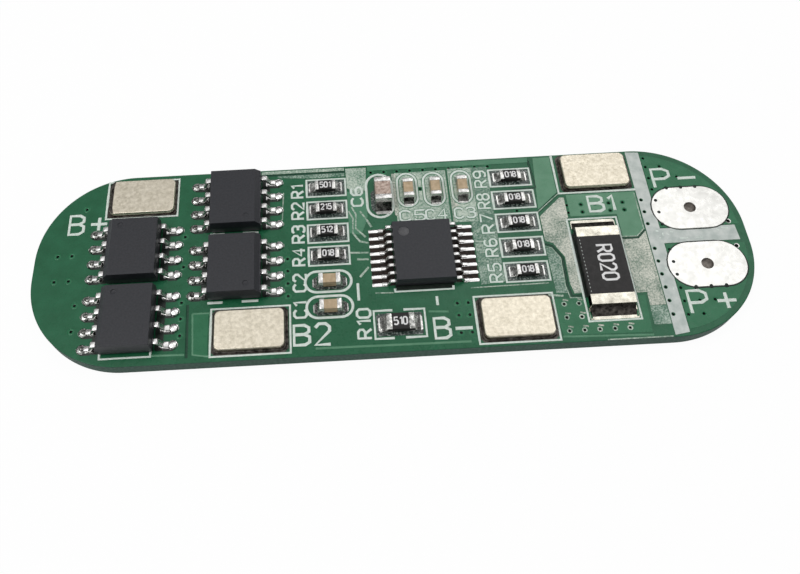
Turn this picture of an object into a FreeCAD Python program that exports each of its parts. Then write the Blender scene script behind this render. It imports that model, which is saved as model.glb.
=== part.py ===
import FreeCAD, Part
import math
import os
import Sketcher

# Protection board of a three-cell battery pack: one rigid circuit board with four power transistors,
# a controller, chip resistors and capacitors, a current shunt, four weld-on battery tabs and two
# plated output pads. Millimetres. Origin at the centre of the board's underside, X along the board
# towards the output pads, Y across it, Z up through the parts. Nothing on it moves.

os.makedirs("parts", exist_ok=True)
document = FreeCAD.newDocument("battery_protection_board")
sheet = document.addObject("Spreadsheet::Sheet", "Sizes")

sizes = {
    # circuit board
    "board_thickness": 1.2,
    "end_radius": 7.2,
    "left_margin": 4.0,
    "right_margin": 0.8,
    "upper_margin": 0.76,
    "lower_margin": 0.89,
    # gaps across the board between the power transistors, and to the tab above the left ones
    "tab_gap": 1.03,
    "left_transistor_gap": 0.66,
    "right_transistor_gap": 0.8,
    # gaps along the board between the lands of neighbouring columns, from the left end
    "transistor_column_gap": 0.41,
    "resistor_left_gap": 2.1,
    "controller_left_gap": 1.89,
    "controller_right_gap": 2.35,
    "shunt_gap": 2.8,
    "output_gap": 3.18,
    # copper lands under the parts, with their film of solder
    "land_thickness": 0.05,
    # output pads, plated through the board, with holes that are lined with solder
    "pad_length": 5.75,
    "pad_width": 3.7,
    "pad_plating": 0.07,
    "pad_gap": 1.17,
    "pad_hole": 0.9,
    "barrel_wall": 0.16,
    # vias
    "via_diameter": 0.34,
    "via_pitch": 1.07,
    "via_fine_pitch": 1.034,
    "via_block_pitch": 0.79,
    "pad_via_pitch": 1.1,
    "via_edge_gap": 0.75,
    "via_band_gap": 0.63,
    # battery tabs, nickel plates soldered flat
    "tab_length": 5.0,
    "tab_width": 3.0,
    "tab_thickness": 0.4,
    "tab_corner": 0.35,
    "tab_solder_rim": 0.16,
    "tab_solder_thickness": 0.1,
    "upper_left_tab_margin": 0.62,
    "upper_right_tab_margin": 0.4,
    "lower_left_tab_margin": 0.7,
    "lower_right_tab_margin": 0.55,
    "upper_left_tab_shift": 0.27,
    "upper_right_tab_shift": 1.01,
    "lower_left_tab_shift": 1.06,
    "lower_right_tab_shift": 1.32,
    # power transistors, eight-lead packages
    "transistor_width": 3.9,
    "transistor_end_margin": 0.545,
    "transistor_bottom": 0.15,
    "transistor_band": 0.7,
    "transistor_top": 1.52,
    "transistor_draft": 7.0,
    "transistor_span": 6.0,
    "transistor_land_toe": 0.61,
    "transistor_land_heel": 0.75,
    "transistor_land_width": 0.6,
    "transistor_lead_pitch": 1.27,
    "transistor_lead_width": 0.41,
    "transistor_lead_thickness": 0.2,
    "transistor_shoulder": 0.45,
    "transistor_lean": 0.08,
    "transistor_bend": 0.1,
    "transistor_bevel": 0.35,
    "transistor_dimple": 0.4,
    "transistor_dimple_depth": 0.06,
    "transistor_dimple_side": 1.05,
    "transistor_dimple_end": 0.65,
    # controller, sixteen-lead package
    "controller_width": 4.4,
    "controller_end_margin": 0.225,
    "controller_bottom": 0.1,
    "controller_band": 0.52,
    "controller_top": 1.1,
    "controller_draft": 7.0,
    "controller_span": 6.4,
    "controller_land_toe": 0.74,
    "controller_land_heel": 0.6,
    "controller_land_width": 0.34,
    "controller_lead_pitch": 0.65,
    "controller_lead_width": 0.24,
    "controller_lead_thickness": 0.13,
    "controller_shoulder": 0.3,
    "controller_lean": 0.08,
    "controller_bend": 0.07,
    "controller_dimple": 0.8,
    "controller_dimple_depth": 0.05,
    "controller_dimple_side": 0.87,
    "controller_dimple_end": 0.92,
    "controller_middle": 0.47,
    # chip parts: plated end caps wrap a ceramic core
    "cap_plating": 0.04,
    "resistor_length": 1.6,
    "resistor_width": 0.82,
    "resistor_height": 0.45,
    "resistor_cap": 0.28,
    "resistor_toe": 0.4,
    "left_resistor_top": 6.03,
    "left_resistor_pitch": 2.03,
    "right_resistor_top": 6.07,
    "right_resistor_pitch": 2.09,
    "output_resistor_length": 2.0,
    "output_resistor_width": 1.25,
    "output_resistor_height": 0.5,
    "output_resistor_cap": 0.4,
    "output_resistor_toe": 0.45,
    "output_resistor_margin": 2.13,
    "output_resistor_shift": 2.14,
    "capacitor_length": 1.6,
    "capacitor_width": 0.8,
    "capacitor_height": 0.8,
    "capacitor_cap": 0.33,
    "capacitor_toe": 0.4,
    "lying_capacitor_drop": 2.3,
    "lying_capacitor_pitch": 2.07,
    "upright_capacitor_margin": 2.8,
    "upright_capacitor_shift": 0.6,
    "upright_capacitor_pitch": 2.1,
    "supply_capacitor_length": 2.0,
    "supply_capacitor_width": 1.25,
    "supply_capacitor_height": 1.25,
    "supply_capacitor_cap": 0.42,
    "supply_capacitor_toe": 0.45,
    "supply_capacitor_margin": 3.05,
    "supply_capacitor_shift": 2.6,
    "shunt_length": 6.35,
    "shunt_width": 3.2,
    "shunt_height": 0.6,
    "shunt_cap": 0.82,
    "shunt_toe": 0.7,
    "shunt_middle": 2.3,
}


def fill_sheet():
    for row, (alias, value) in enumerate(sizes.items(), start=1):
        sheet.set("A%d" % row, alias)
        sheet.set("B%d" % row, str(value))
        sheet.setAlias("B%d" % row, alias)
    document.recompute()


def size(alias):
    return "Sizes." + alias


lead_counts = {"transistor": 4, "controller": 8}  # along one side


def package_length(kind):
    return "(%d * Sizes.%s_lead_pitch + 2 * Sizes.%s_end_margin)" % (lead_counts[kind] - 1, kind, kind)


def land_span(kind):
    return "(Sizes.%s_span + 2 * Sizes.%s_land_toe)" % (kind, kind)


# Places of the board's columns, each worked out from the left end in terms of the sheet.
transistor_land = land_span("transistor")
controller_land = land_span("controller")
resistor_land = "(Sizes.resistor_length + 2 * Sizes.resistor_toe)"
board_length = (
    "(Sizes.left_margin + 2 * %s + Sizes.transistor_column_gap + Sizes.resistor_left_gap"
    " + 2 * %s + Sizes.controller_left_gap + %s + Sizes.controller_right_gap + Sizes.shunt_gap"
    " + Sizes.shunt_width + Sizes.output_gap + Sizes.pad_length + Sizes.right_margin)"
    % (transistor_land, resistor_land, controller_land)
)
left_end = "(-%s / 2)" % board_length
left_column = "(%s + Sizes.left_margin + %s / 2)" % (left_end, transistor_land)
right_column = "(%s + %s + Sizes.transistor_column_gap)" % (left_column, transistor_land)
beside = "(%s + %s / 2 + Sizes.%s + %s / 2)"
left_resistors = beside % (right_column, transistor_land, "resistor_left_gap", resistor_land)
controller_x = beside % (left_resistors, resistor_land, "controller_left_gap", controller_land)
right_resistors = beside % (controller_x, controller_land, "controller_right_gap", resistor_land)
shunt_x = beside % (right_resistors, resistor_land, "shunt_gap", "Sizes.shunt_width")
pad_x = "(%s + Sizes.shunt_width / 2 + Sizes.output_gap + Sizes.pad_length / 2)" % shunt_x
pad_y = "((Sizes.pad_gap + Sizes.pad_width) / 2)"

# Places across the board: its width is that of the left column, a tab over two power transistors.
transistor_length = package_length("transistor")
board_width = (
    "(Sizes.upper_left_tab_margin + Sizes.tab_width + Sizes.tab_gap + 2 * %s"
    " + Sizes.left_transistor_gap + Sizes.lower_margin)" % transistor_length
)
upper_edge = "(%s / 2)" % board_width
left_lower_y = "(%s / 2 + Sizes.lower_margin - %s)" % (transistor_length, upper_edge)
left_upper_y = "(%s + %s + Sizes.left_transistor_gap)" % (left_lower_y, transistor_length)
right_upper_y = "(%s - Sizes.upper_margin - %s / 2)" % (upper_edge, transistor_length)
right_lower_y = "(%s - %s - Sizes.right_transistor_gap)" % (right_upper_y, transistor_length)
board_top = size("board_thickness")
seat_height = "(Sizes.board_thickness + Sizes.land_thickness)"
output_resistor_x = "(%s - Sizes.output_resistor_shift)" % controller_x
output_resistor_y = "(Sizes.output_resistor_margin - %s)" % upper_edge


def number(expression):
    return float(sheet.evalExpression(expression))


def new_body(name):
    body = document.addObject("PartDesign::Body", name)
    body.Label = name
    return body


def place(piece, x="0", y="0", z="0", turn=0.0):
    upward = FreeCAD.Vector(0, 0, 1)
    piece.Placement = FreeCAD.Placement(FreeCAD.Vector(), FreeCAD.Rotation(upward, turn))
    for axis, expression in zip("xyz", (x, y, z)):
        piece.setExpression("Placement.Base." + axis, expression)


def origin_feature(body, role):
    return [item for item in body.Origin.OriginFeatures if item.Role == role][0]


def new_sketch(body, name, role="XY_Plane", offset="0"):
    sketch = body.newObject("Sketcher::SketchObject", body.Name + "_" + name)
    sketch.AttachmentSupport = [(origin_feature(body, role), "")]
    sketch.MapMode = "FlatFace"
    sketch.setExpression("AttachmentOffset.Base.z", offset)
    return sketch


def bind_constraint(sketch, constraint, expression):
    index = sketch.addConstraint(constraint)
    sketch.setExpression("Constraints[%d]" % index, expression)


def fix_point(sketch, edge, end, x, y):
    bind_constraint(sketch, Sketcher.Constraint("DistanceX", -1, 1, edge, end, number(x)), x)
    bind_constraint(sketch, Sketcher.Constraint("DistanceY", -1, 1, edge, end, number(y)), y)


def draw_polygon(sketch, corners):
    points = [FreeCAD.Vector(number(x), number(y), 0) for x, y in corners]
    first = sketch.GeometryCount
    count = len(points)
    for k in range(count):
        sketch.addGeometry(Part.LineSegment(points[k], points[(k + 1) % count]), False)
    for k in range(count):
        following = first + (k + 1) % count
        sketch.addConstraint(Sketcher.Constraint("Coincident", first + k, 2, following, 1))
    for k, (x, y) in enumerate(corners):
        fix_point(sketch, first + k, 1, x, y)


def draw_rectangle(sketch, width, height, middle="0"):
    # middle raises the rectangle along the sketch's second axis
    half_width = "%s / 2" % width
    low = "%s - %s / 2" % (middle, height)
    high = "%s + %s / 2" % (middle, height)
    right, left = half_width, "-%s" % half_width
    draw_polygon(sketch, [(left, low), (right, low), (right, high), (left, high)])


def draw_circle(sketch, diameter, x="0", y="0"):
    circle = Part.Circle()
    circle.Center = FreeCAD.Vector(number(x), number(y), 0)
    circle.Radius = number(diameter) / 2
    edge = sketch.addGeometry(circle, False)
    bind_constraint(sketch, Sketcher.Constraint("Diameter", edge, number(diameter)), diameter)
    fix_point(sketch, edge, 3, x, y)


def draw_slot(sketch, length, width, x="0", y="0"):
    # two half circles joined by straight sides, lying along the sketch's first axis
    radius = number(width) / 2
    centre = FreeCAD.Vector(number(x), number(y), 0)
    reach = FreeCAD.Vector((number(length) - number(width)) / 2, 0, 0)
    rise = FreeCAD.Vector(0, radius, 0)
    upward = FreeCAD.Vector(0, 0, 1)
    quarter = math.pi / 2
    right_end = Part.ArcOfCircle(Part.Circle(centre + reach, upward, radius), -quarter, quarter)
    left_end_arc = Part.ArcOfCircle(Part.Circle(centre - reach, upward, radius), quarter, 3 * quarter)
    first = sketch.GeometryCount
    sketch.addGeometry(right_end, False)
    sketch.addGeometry(Part.LineSegment(centre + reach + rise, centre - reach + rise), False)
    sketch.addGeometry(left_end_arc, False)
    sketch.addGeometry(Part.LineSegment(centre - reach - rise, centre + reach - rise), False)
    for k in range(4):
        sketch.addConstraint(Sketcher.Constraint("Tangent", first + k, 2, first + (k + 1) % 4, 1))
    half_reach = "(%s - %s) / 2" % (length, width)
    fix_point(sketch, first, 3, "%s + %s" % (x, half_reach), y)
    fix_point(sketch, first + 2, 3, "%s - %s" % (x, half_reach), y)
    half_width = "%s / 2" % width
    bind_constraint(sketch, Sketcher.Constraint("Radius", first, radius), half_width)


def pad(sketch, name, length, taper="0", downward=False, both_ways=False):
    body = sketch.getParentGeoFeatureGroup()
    feature = body.newObject("PartDesign::Pad", body.Name + "_" + name)
    feature.Profile = (sketch, [""])
    feature.SideType = "Symmetric" if both_ways else "One side"
    feature.Reversed = downward
    feature.setExpression("Length", length)
    feature.setExpression("TaperAngle", taper)
    return feature


def pocket(sketch, name, length, downward=True, both_ways=False):
    body = sketch.getParentGeoFeatureGroup()
    feature = body.newObject("PartDesign::Pocket", body.Name + "_" + name)
    feature.Profile = (sketch, [""])
    feature.SideType = "Symmetric" if both_ways else "One side"
    feature.Reversed = not downward
    feature.setExpression("Length", length)
    return feature


def upright_edges(feature):
    names = []
    for k, edge in enumerate(feature.Shape.Edges, start=1):
        box = edge.BoundBox
        if box.XLength < 1e-6 and box.YLength < 1e-6:
            names.append("Edge%d" % k)
    return names


def round_edges(base, name, edges, radius):
    body = base.getParentGeoFeatureGroup()
    feature = body.newObject("PartDesign::Fillet", body.Name + "_" + name)
    feature.Base = (base, edges)
    feature.setExpression("Radius", radius)


def cut_edges(base, name, edges, width):
    body = base.getParentGeoFeatureGroup()
    feature = body.newObject("PartDesign::Chamfer", body.Name + "_" + name)
    feature.Base = (base, edges)
    feature.setExpression("Size", width)


def group(name, pieces):
    compound = document.addObject("Part::Compound", name)
    compound.Label = name
    compound.Links = pieces
    return compound


# Circuit board: a plate with rounded ends, drilled for the output pads and the vias
def drill(name, x, y):
    hole = document.addObject("Part::Prism", name)
    hole.Polygon = 6
    hole.setExpression("Circumradius", "Sizes.via_diameter / 2")
    hole.setExpression("Height", "3 * Sizes.board_thickness")
    place(hole, x, y, "-%s" % board_top)
    return hole


def via_block(x, y, columns, rows, pitch_x, pitch_y):
    # a block of vias that runs to the right and downwards from its first one
    places = []
    for column in range(columns):
        for row in range(rows):
            across = "%s + %d * %s" % (x, column, pitch_x)
            down = "%s - %d * %s" % (y, row, pitch_y)
            places.append((across, down))
    return places


def via_places():
    pitch = size("via_pitch")
    fine_pitch = size("via_fine_pitch")
    block_pitch = size("via_block_pitch")
    near_pads = size("pad_via_pitch")
    band = "%s - Sizes.pad_length / 2 - Sizes.via_band_gap" % pad_x
    pad_start = "%s - Sizes.pad_length / 2 + 0.4 * %s" % (pad_x, near_pads)
    places = []
    # the column in the pale band, without the one where the band turns off
    places += via_block(band, "3.12 * " + pitch, 1, 3, pitch, pitch)
    places += via_block(band, "-0.88 * " + pitch, 1, 6, pitch, pitch)
    # the row along the upper edge, over the controller
    upper_row = "%s - Sizes.via_edge_gap" % upper_edge
    row_start = "%s - 3.27 * %s" % (controller_x, fine_pitch)
    places += via_block(row_start, upper_row, 10, 1, fine_pitch, fine_pitch)
    # two rows between the upper right tab and the shunt
    above_shunt = "%s - 1.49 * %s" % (shunt_x, pitch)
    places += via_block(above_shunt, "3.02 * " + pitch, 5, 2, pitch, "0.63 * " + pitch)
    # beside the shunt's lower end
    below_shunt = "%s - 3.16 * %s" % (shunt_x, pitch)
    places += via_block(below_shunt, "-4.72 * " + pitch, 2, 2, pitch, "0.98 * " + pitch)
    places += via_block(below_shunt, "-6.66 * " + pitch, 5, 1, pitch, pitch)
    # left of the lower right tab
    block = "%s + 2.65 * %s" % (controller_x, block_pitch)
    places += via_block(block, "-5.72 * " + block_pitch, 2, 2, block_pitch, "1.2 * " + block_pitch)
    places += via_block(block, "-8.63 * " + block_pitch, 2, 1, block_pitch, block_pitch)
    # round the output pads, alike above and below
    for side in ("", "-"):
        for column, (low, high) in enumerate(((1, 6), (4, 6), (4, 5), (4, 4))):
            for row in range(low, high + 1):
                x = "%s + %d * %s" % (pad_start, column, near_pads)
                places.append((x, "%s(0.03 + 0.96 * %d) * %s" % (side, row, near_pads)))
        places.append(("%s + 2.34 * %s" % (pad_x, near_pads), "%s0.97 * %s" % (side, near_pads)))
    # one more above the negative pad
    places.append((pad_start, "(0.03 + 0.96 * 6.8) * " + near_pads))
    # at the left end
    end_block = "%s - 0.82 * %s - %s / 2 - Sizes.via_diameter" % (left_column, pitch, transistor_land)
    end_column = "%s + 0.65 * %s" % (end_block, pitch)
    places += via_block("%s - %s" % (end_block, pitch), "1.03 * " + pitch, 2, 2, pitch, "2 * " + pitch)
    places += via_block(end_column, "-2.87 * " + pitch, 1, 2, pitch, "1.92 * " + pitch)
    places.append((end_column, "4.85 * " + pitch))
    # between the two columns of transistors
    between = "%s - %s / 2 - 0.8 * Sizes.transistor_column_gap" % (right_column, transistor_land)
    for row in (2.1, -0.32, -3.08, -4.27, -5.5):
        places.append((between, "%s * %s" % (row, pitch)))
    # right of the second column of transistors
    lead_side = "%s + %s / 2 + 0.22 * %s" % (right_column, transistor_land, pitch)
    places += via_block(lead_side, "-0.13 * " + pitch, 1, 4, pitch, "0.96 * " + pitch)
    # single ones beside the resistors and between the capacitors
    resistor_side = "%s - 1.75 * %s" % (left_resistors, pitch)
    places += via_block(resistor_side, "3.63 * " + pitch, 1, 2, pitch, "1.67 * " + pitch)
    places.append(("%s + 0.36 * %s" % (controller_x, pitch), "5.1 * " + pitch))
    places.append(("%s + 0.1 * %s" % (right_resistors, pitch), "2.79 * " + pitch))
    return places


def circuit_board(drills):
    body = new_body("board_plate")
    outline = new_sketch(body, "outline")
    draw_rectangle(outline, board_length, board_width)
    plate = pad(outline, "plate", board_top)
    document.recompute()
    radius = "min(Sizes.end_radius; 0.98 * %s)" % upper_edge
    round_edges(plate, "ends", upright_edges(plate), radius)
    for side, sign in (("negative", ""), ("positive", "-")):
        y = sign + pad_y
        barrel = new_sketch(body, side + "_barrel")
        draw_circle(barrel, "(Sizes.pad_hole + 2 * Sizes.barrel_wall)", pad_x, y)
        pocket(barrel, side + "_barrel_hole", "2 * " + board_top, downward=False)
        recess = new_sketch(body, side + "_recess")
        draw_slot(recess, size("pad_length"), size("pad_width"), pad_x, y)
        pocket(recess, side + "_recess_cut", size("pad_plating"), downward=False)
    board = document.addObject("Part::Cut", "circuit_board")
    board.Label = "circuit_board"
    board.Base = body
    board.Tool = drills


# Output pad: a tinned slot-shaped face above and below, joined by the plated barrel of the hole
def output_pad(name, sign):
    body = new_body(name)
    lower = new_sketch(body, "lower")
    draw_slot(lower, size("pad_length"), size("pad_width"))
    pad(lower, "lower_face", size("pad_plating"))
    barrel = new_sketch(body, "barrel", offset=size("pad_plating"))
    draw_circle(barrel, "(Sizes.pad_hole + 2 * Sizes.barrel_wall)")
    pad(barrel, "barrel_wall", "%s - Sizes.pad_plating" % board_top)
    upper = new_sketch(body, "upper", offset=board_top)
    draw_slot(upper, size("pad_length"), size("pad_width"))
    pad(upper, "upper_face", size("pad_plating"))
    hole = new_sketch(body, "hole")
    draw_circle(hole, size("pad_hole"))
    pocket(hole, "hole_cut", "2 * " + board_top, downward=False)
    place(body, pad_x, sign + pad_y)


# Battery tab: a nickel plate with rounded corners, lying on a bed of solder with cut corners
def battery_tab(name, x, y):
    solder_height = size("tab_solder_thickness")
    corner = "min(Sizes.tab_corner; 0.49 * Sizes.tab_width)"
    tab = new_body(name)
    outline = new_sketch(tab, "outline")
    draw_rectangle(outline, size("tab_length"), size("tab_width"))
    plate = pad(outline, "plate", size("tab_thickness"))
    bed = new_body(name + "_solder")
    bed_outline = new_sketch(bed, "outline")
    rim = "2 * Sizes.tab_solder_rim"
    draw_rectangle(bed_outline, "(Sizes.tab_length + %s)" % rim, "(Sizes.tab_width + %s)" % rim)
    layer = pad(bed_outline, "layer", solder_height)
    document.recompute()
    round_edges(plate, "corners", upright_edges(plate), corner)
    cut_edges(layer, "corners", upright_edges(layer), corner)
    place(tab, x, y, "%s + %s" % (board_top, solder_height))
    place(bed, x, y, board_top)
    return bed


# Moulded package: a straight band where the leads come out, drafted above and below it
def package_body(name, kind, x, y, turn, bevelled):
    body = new_body(name)
    width, length = size(kind + "_width"), package_length(kind)
    band_low = "(%s + %s_band)" % (board_top, size(kind))
    band_high = "(%s + %s_lead_thickness)" % (band_low, size(kind))
    top = "(%s + %s_top)" % (board_top, size(kind))
    draft = "-%s_draft" % size(kind)
    for part, height in (("band", band_low), ("crown", band_high), ("base", band_low)):
        outline = new_sketch(body, part + "_outline", offset=height)
        draw_rectangle(outline, width, length)
        if part == "band":
            pad(outline, part, size(kind + "_lead_thickness"))
        elif part == "crown":
            pad(outline, part, "%s - %s" % (top, band_high), draft)
        else:
            pad(outline, part, "%s_band - %s_bottom" % (size(kind), size(kind)), draft, True)
    if bevelled:
        corner = new_sketch(body, "bevel_outline", role="XZ_Plane")
        outer = "%s / 2" % width
        beyond = "(%s + 1)" % top
        bevel = size(kind + "_bevel")
        lean = "tan(%s_draft) * (%s - %s)" % (size(kind), top, band_high)
        inner = "%s - %s - %s" % (outer, bevel, lean)
        low = "%s - %s" % (top, bevel)
        aside = "%s + 1" % outer
        draw_polygon(corner, [
            (inner, top), (inner, beyond), (aside, beyond), (aside, low), ("%s - %s" % (outer, lean), low)])
        pocket(corner, "bevel", "2 * %s" % length, both_ways=True)
    dimple = new_sketch(body, "dimple_outline", offset=top)
    side = "%s / 2 - %s_dimple_side" % (width, size(kind))
    end = "%s / 2 - %s_dimple_end" % (length, size(kind))
    draw_circle(dimple, size(kind + "_dimple"), side, "-(%s)" % end)
    pocket(dimple, "dimple", size(kind + "_dimple_depth"))
    place(body, x, y, turn=turn)


# Gull-wing leads: one profile, repeated along each side and mirrored to the other
def repeat_on_both_sides(body, feature, kind):
    row = body.newObject("PartDesign::LinearPattern", body.Name + "_row")
    row.Originals = [feature]
    row.Direction = (origin_feature(body, "Y_Axis"), [""])
    row.Occurrences = lead_counts[kind]
    row.setExpression("Length", "%d * %s_lead_pitch" % (lead_counts[kind] - 1, size(kind)))
    body.Tip = row
    document.recompute()
    mirror = body.newObject("PartDesign::Mirrored", body.Name + "_other_side")
    mirror.TransformMode = "Whole shape"
    mirror.MirrorPlane = (origin_feature(body, "YZ_Plane"), [""])
    body.Tip = mirror


def package_leads(name, kind, x, y, turn):
    body = new_body(name)
    first_row = "%s * %s_lead_pitch" % ((lead_counts[kind] - 1) / 2, size(kind))
    profile = new_sketch(body, "profile", role="XZ_Plane", offset=first_row)
    thickness, bend = size(kind + "_lead_thickness"), size(kind + "_bend")
    inner = "%s_width / 2" % size(kind)
    outer = "%s + %s_shoulder" % (inner, size(kind))
    foot = "%s + %s_lean" % (outer, size(kind))
    toe = "%s_span / 2" % size(kind)
    high = "%s + %s_band + %s" % (board_top, size(kind), thickness)
    low = seat_height
    foot_top = "%s + %s" % (low, thickness)
    under_arm = "%s - %s" % (high, thickness)
    heel = "%s - %s" % (foot, thickness)
    draw_polygon(profile, [
        (inner, high), ("%s - %s" % (outer, bend), high), (outer, "%s - %s" % (high, bend)),
        (foot, foot_top), (toe, foot_top), (toe, low), ("%s + %s" % (heel, bend), low),
        (heel, "%s + %s" % (low, bend)), ("%s - %s" % (outer, thickness), under_arm), (inner, under_arm)])
    lead = pad(profile, "lead", size(kind + "_lead_width"), both_ways=True)
    repeat_on_both_sides(body, lead, kind)
    place(body, x, y, turn=turn)


# Solder at a gull-wing lead: the tinned land with a heap in front of the toe
def package_solder(name, kind, x, y, turn):
    body = new_body(name)
    first_row = "%s * %s_lead_pitch" % ((lead_counts[kind] - 1) / 2, size(kind))
    profile = new_sketch(body, "profile", role="XZ_Plane", offset=first_row)
    toe = "%s_span / 2" % size(kind)
    tip = "%s + %s_land_toe" % (toe, size(kind))
    heel = "%s - %s_land_heel" % (toe, size(kind))
    thickness = size(kind + "_lead_thickness")
    draw_polygon(profile, [
        (heel, board_top), (tip, board_top), (tip, seat_height),
        ("%s + 0.55 * %s_land_toe" % (toe, size(kind)), "%s + 0.6 * %s" % (seat_height, thickness)),
        (toe, "%s + 0.9 * %s" % (seat_height, thickness)), (toe, seat_height), (heel, seat_height)])
    land = pad(profile, "land", size(kind + "_land_width"), both_ways=True)
    repeat_on_both_sides(body, land, kind)
    place(body, x, y, turn=turn)


def package(name, kind, x, y, turn=0.0):
    package_body(name + "_body", kind, x, y, turn, kind == "transistor")
    package_leads(name + "_leads", kind, x, y, turn)
    package_solder(name + "_solder", kind, x, y, turn)


# Chip part: a ceramic core with a plated cap on each end. A resistor's core has a glass coat between
# the caps and bare sides; a capacitor's caps also cover the sides.
def chip_core(name, kind, coated):
    body = new_body(name)
    plating = size("cap_plating")
    core_width = size(kind + "_width") if coated else "(%s_width - 2 * %s)" % (size(kind), plating)
    outline = new_sketch(body, "core_outline", offset=plating)
    draw_rectangle(outline, "(%s_length - 2 * %s)" % (size(kind), plating), core_width)
    pad(outline, "core", "%s_height - 2 * %s" % (size(kind), plating))
    if coated:
        coat = new_sketch(body, "coat_outline", offset="%s_height - %s" % (size(kind), plating))
        draw_rectangle(coat, "(%s_length - 2 * %s_cap)" % (size(kind), size(kind)), core_width)
        pad(coat, "coat", plating)
    return body


def chip_caps(name, kind, coated):
    body = new_body(name)
    plating = size("cap_plating")
    length, width, height = size(kind + "_length"), size(kind + "_width"), size(kind + "_height")
    outline = new_sketch(body, "caps_outline")
    draw_rectangle(outline, length, width)
    pad(outline, "caps", height)
    middle = new_sketch(body, "middle_outline")
    draw_rectangle(middle, "(%s - 2 * %s_cap)" % (length, size(kind)), "(2 * %s)" % width)
    pocket(middle, "middle", "2 * %s" % height, downward=False)
    inside = new_sketch(body, "inside_outline", role="YZ_Plane")
    inside_width = "(2 * %s)" % width if coated else "(%s - 2 * %s)" % (width, plating)
    draw_rectangle(inside, inside_width, "(%s - 2 * %s)" % (height, plating), "%s / 2" % height)
    pocket(inside, "inside", "%s - 2 * %s" % (length, plating), both_ways=True)
    return body


# Solder at a chip's cap: the land under it and a sloping fillet up its end
def chip_solder(name, kind):
    body = new_body(name)
    profile = new_sketch(body, "profile", role="XZ_Plane")
    end = "%s_length / 2" % size(kind)
    tip = "%s + %s_toe" % (end, size(kind))
    heel = "%s - %s_cap" % (end, size(kind))
    film = size("land_thickness")
    draw_polygon(profile, [
        (heel, "-" + film), (tip, "-" + film), (tip, "0"),
        ("%s + 0.35 * %s_toe" % (end, size(kind)), "0.22 * %s_height" % size(kind)),
        (end, "0.6 * %s_height" % size(kind)), (end, "0"), (heel, "0")])
    pad(profile, "fillet", size(kind + "_width"), both_ways=True)
    document.recompute()
    mirror = body.newObject("PartDesign::Mirrored", body.Name + "_other_end")
    mirror.TransformMode = "Whole shape"
    mirror.MirrorPlane = (origin_feature(body, "YZ_Plane"), [""])
    body.Tip = mirror
    return body


def chip(name, kind, x, y, coated, turn=0.0):
    core = chip_core(name + "_body", kind, coated)
    caps = chip_caps(name + "_end_caps", kind, coated)
    solder = chip_solder(name + "_solder", kind)
    for piece in (core, caps, solder):
        place(piece, x, y, seat_height, turn)
    return solder


def build_resistors():
    solder = []
    for k in range(4):
        y = "Sizes.left_resistor_top - %d * Sizes.left_resistor_pitch" % k
        solder.append(chip("resistor_%d" % (k + 1), "resistor", left_resistors, y, True))
    for k in range(5):
        y = "Sizes.right_resistor_top - %d * Sizes.right_resistor_pitch" % k
        solder.append(chip("resistor_%d" % (9 - k), "resistor", right_resistors, y, True))
    solder.append(chip("resistor_10", "output_resistor", output_resistor_x, output_resistor_y, True))
    group("resistor_solder", solder)


def build_capacitors():
    solder = []
    for k in range(2):
        y = "-(Sizes.lying_capacitor_drop + %d * Sizes.lying_capacitor_pitch)" % k
        solder.append(chip("capacitor_%d" % (2 - k), "capacitor", left_resistors, y, False))
    upright_y = "%s - Sizes.upright_capacitor_margin" % upper_edge
    for k in range(3):
        x = "%s - Sizes.upright_capacitor_shift + %d * Sizes.upright_capacitor_pitch" % (controller_x, k)
        solder.append(chip("capacitor_%d" % (5 - k), "capacitor", x, upright_y, False, 90.0))
    supply_x = "%s - Sizes.supply_capacitor_shift" % controller_x
    supply_y = "%s - Sizes.supply_capacitor_margin" % upper_edge
    solder.append(chip("capacitor_6", "supply_capacitor", supply_x, supply_y, False, 90.0))
    group("capacitor_solder", solder)


def build_tabs():
    above = "%s - Sizes.tab_width / 2 - " % upper_edge
    below = "Sizes.tab_width / 2 - %s + " % upper_edge
    places = {
        "battery_tab_positive": (left_column + " + ", above, "upper_left"),
        "battery_tab_first": (shunt_x + " + ", above, "upper_right"),
        "battery_tab_second": (right_column + " + ", below, "lower_left"),
        "battery_tab_negative": (right_resistors + " - ", below, "lower_right"),
    }
    solder = []
    for name, (column, edge, corner) in places.items():
        x = column + size(corner + "_tab_shift")
        y = edge + size(corner + "_tab_margin")
        solder.append(battery_tab(name, x, y))
    group("tab_solder", solder)


def build_packages():
    package("mosfet_1", "transistor", right_column, right_upper_y)
    package("mosfet_2", "transistor", right_column, right_lower_y)
    package("mosfet_3", "transistor", left_column, left_upper_y, 180.0)
    package("mosfet_4", "transistor", left_column, left_lower_y, 180.0)
    package("controller", "controller", controller_x, "-Sizes.controller_middle", 180.0)


def build_board():
    drills = [drill("via_%d" % k, x, y) for k, (x, y) in enumerate(via_places(), start=1)]
    circuit_board(group("via_drills", drills))
    output_pad("output_pad_negative", "")
    output_pad("output_pad_positive", "-")


def node_names():
    names = ["circuit_board", "output_pad_negative", "output_pad_positive", "tab_solder"]
    names += ["battery_tab_" + which for which in ("positive", "negative", "first", "second")]
    for part in ["mosfet_%d" % k for k in range(1, 5)] + ["controller"]:
        names += [part + "_body", part + "_leads", part + "_solder"]
    for part in ["resistor_%d" % k for k in range(1, 11)] + ["capacitor_%d" % k for k in range(1, 7)]:
        names += [part + "_body", part + "_end_caps"]
    names += ["resistor_solder", "capacitor_solder"]
    names += ["shunt_body", "shunt_end_caps", "shunt_solder"]
    return names


def check_document():
    for item in document.Objects:
        if "Invalid" in item.State or "Error" in item.State:
            raise RuntimeError("%s did not build" % item.Name)


def export_nodes():
    for name in node_names():
        shape = document.getObject(name).Shape
        if shape.isNull() or not shape.isValid() or not shape.Solids:
            raise RuntimeError("%s has no valid solid" % name)
        shape.exportStep("parts/%s.step" % name)
        print(name, len(shape.Solids), round(shape.Volume, 4))


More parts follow.
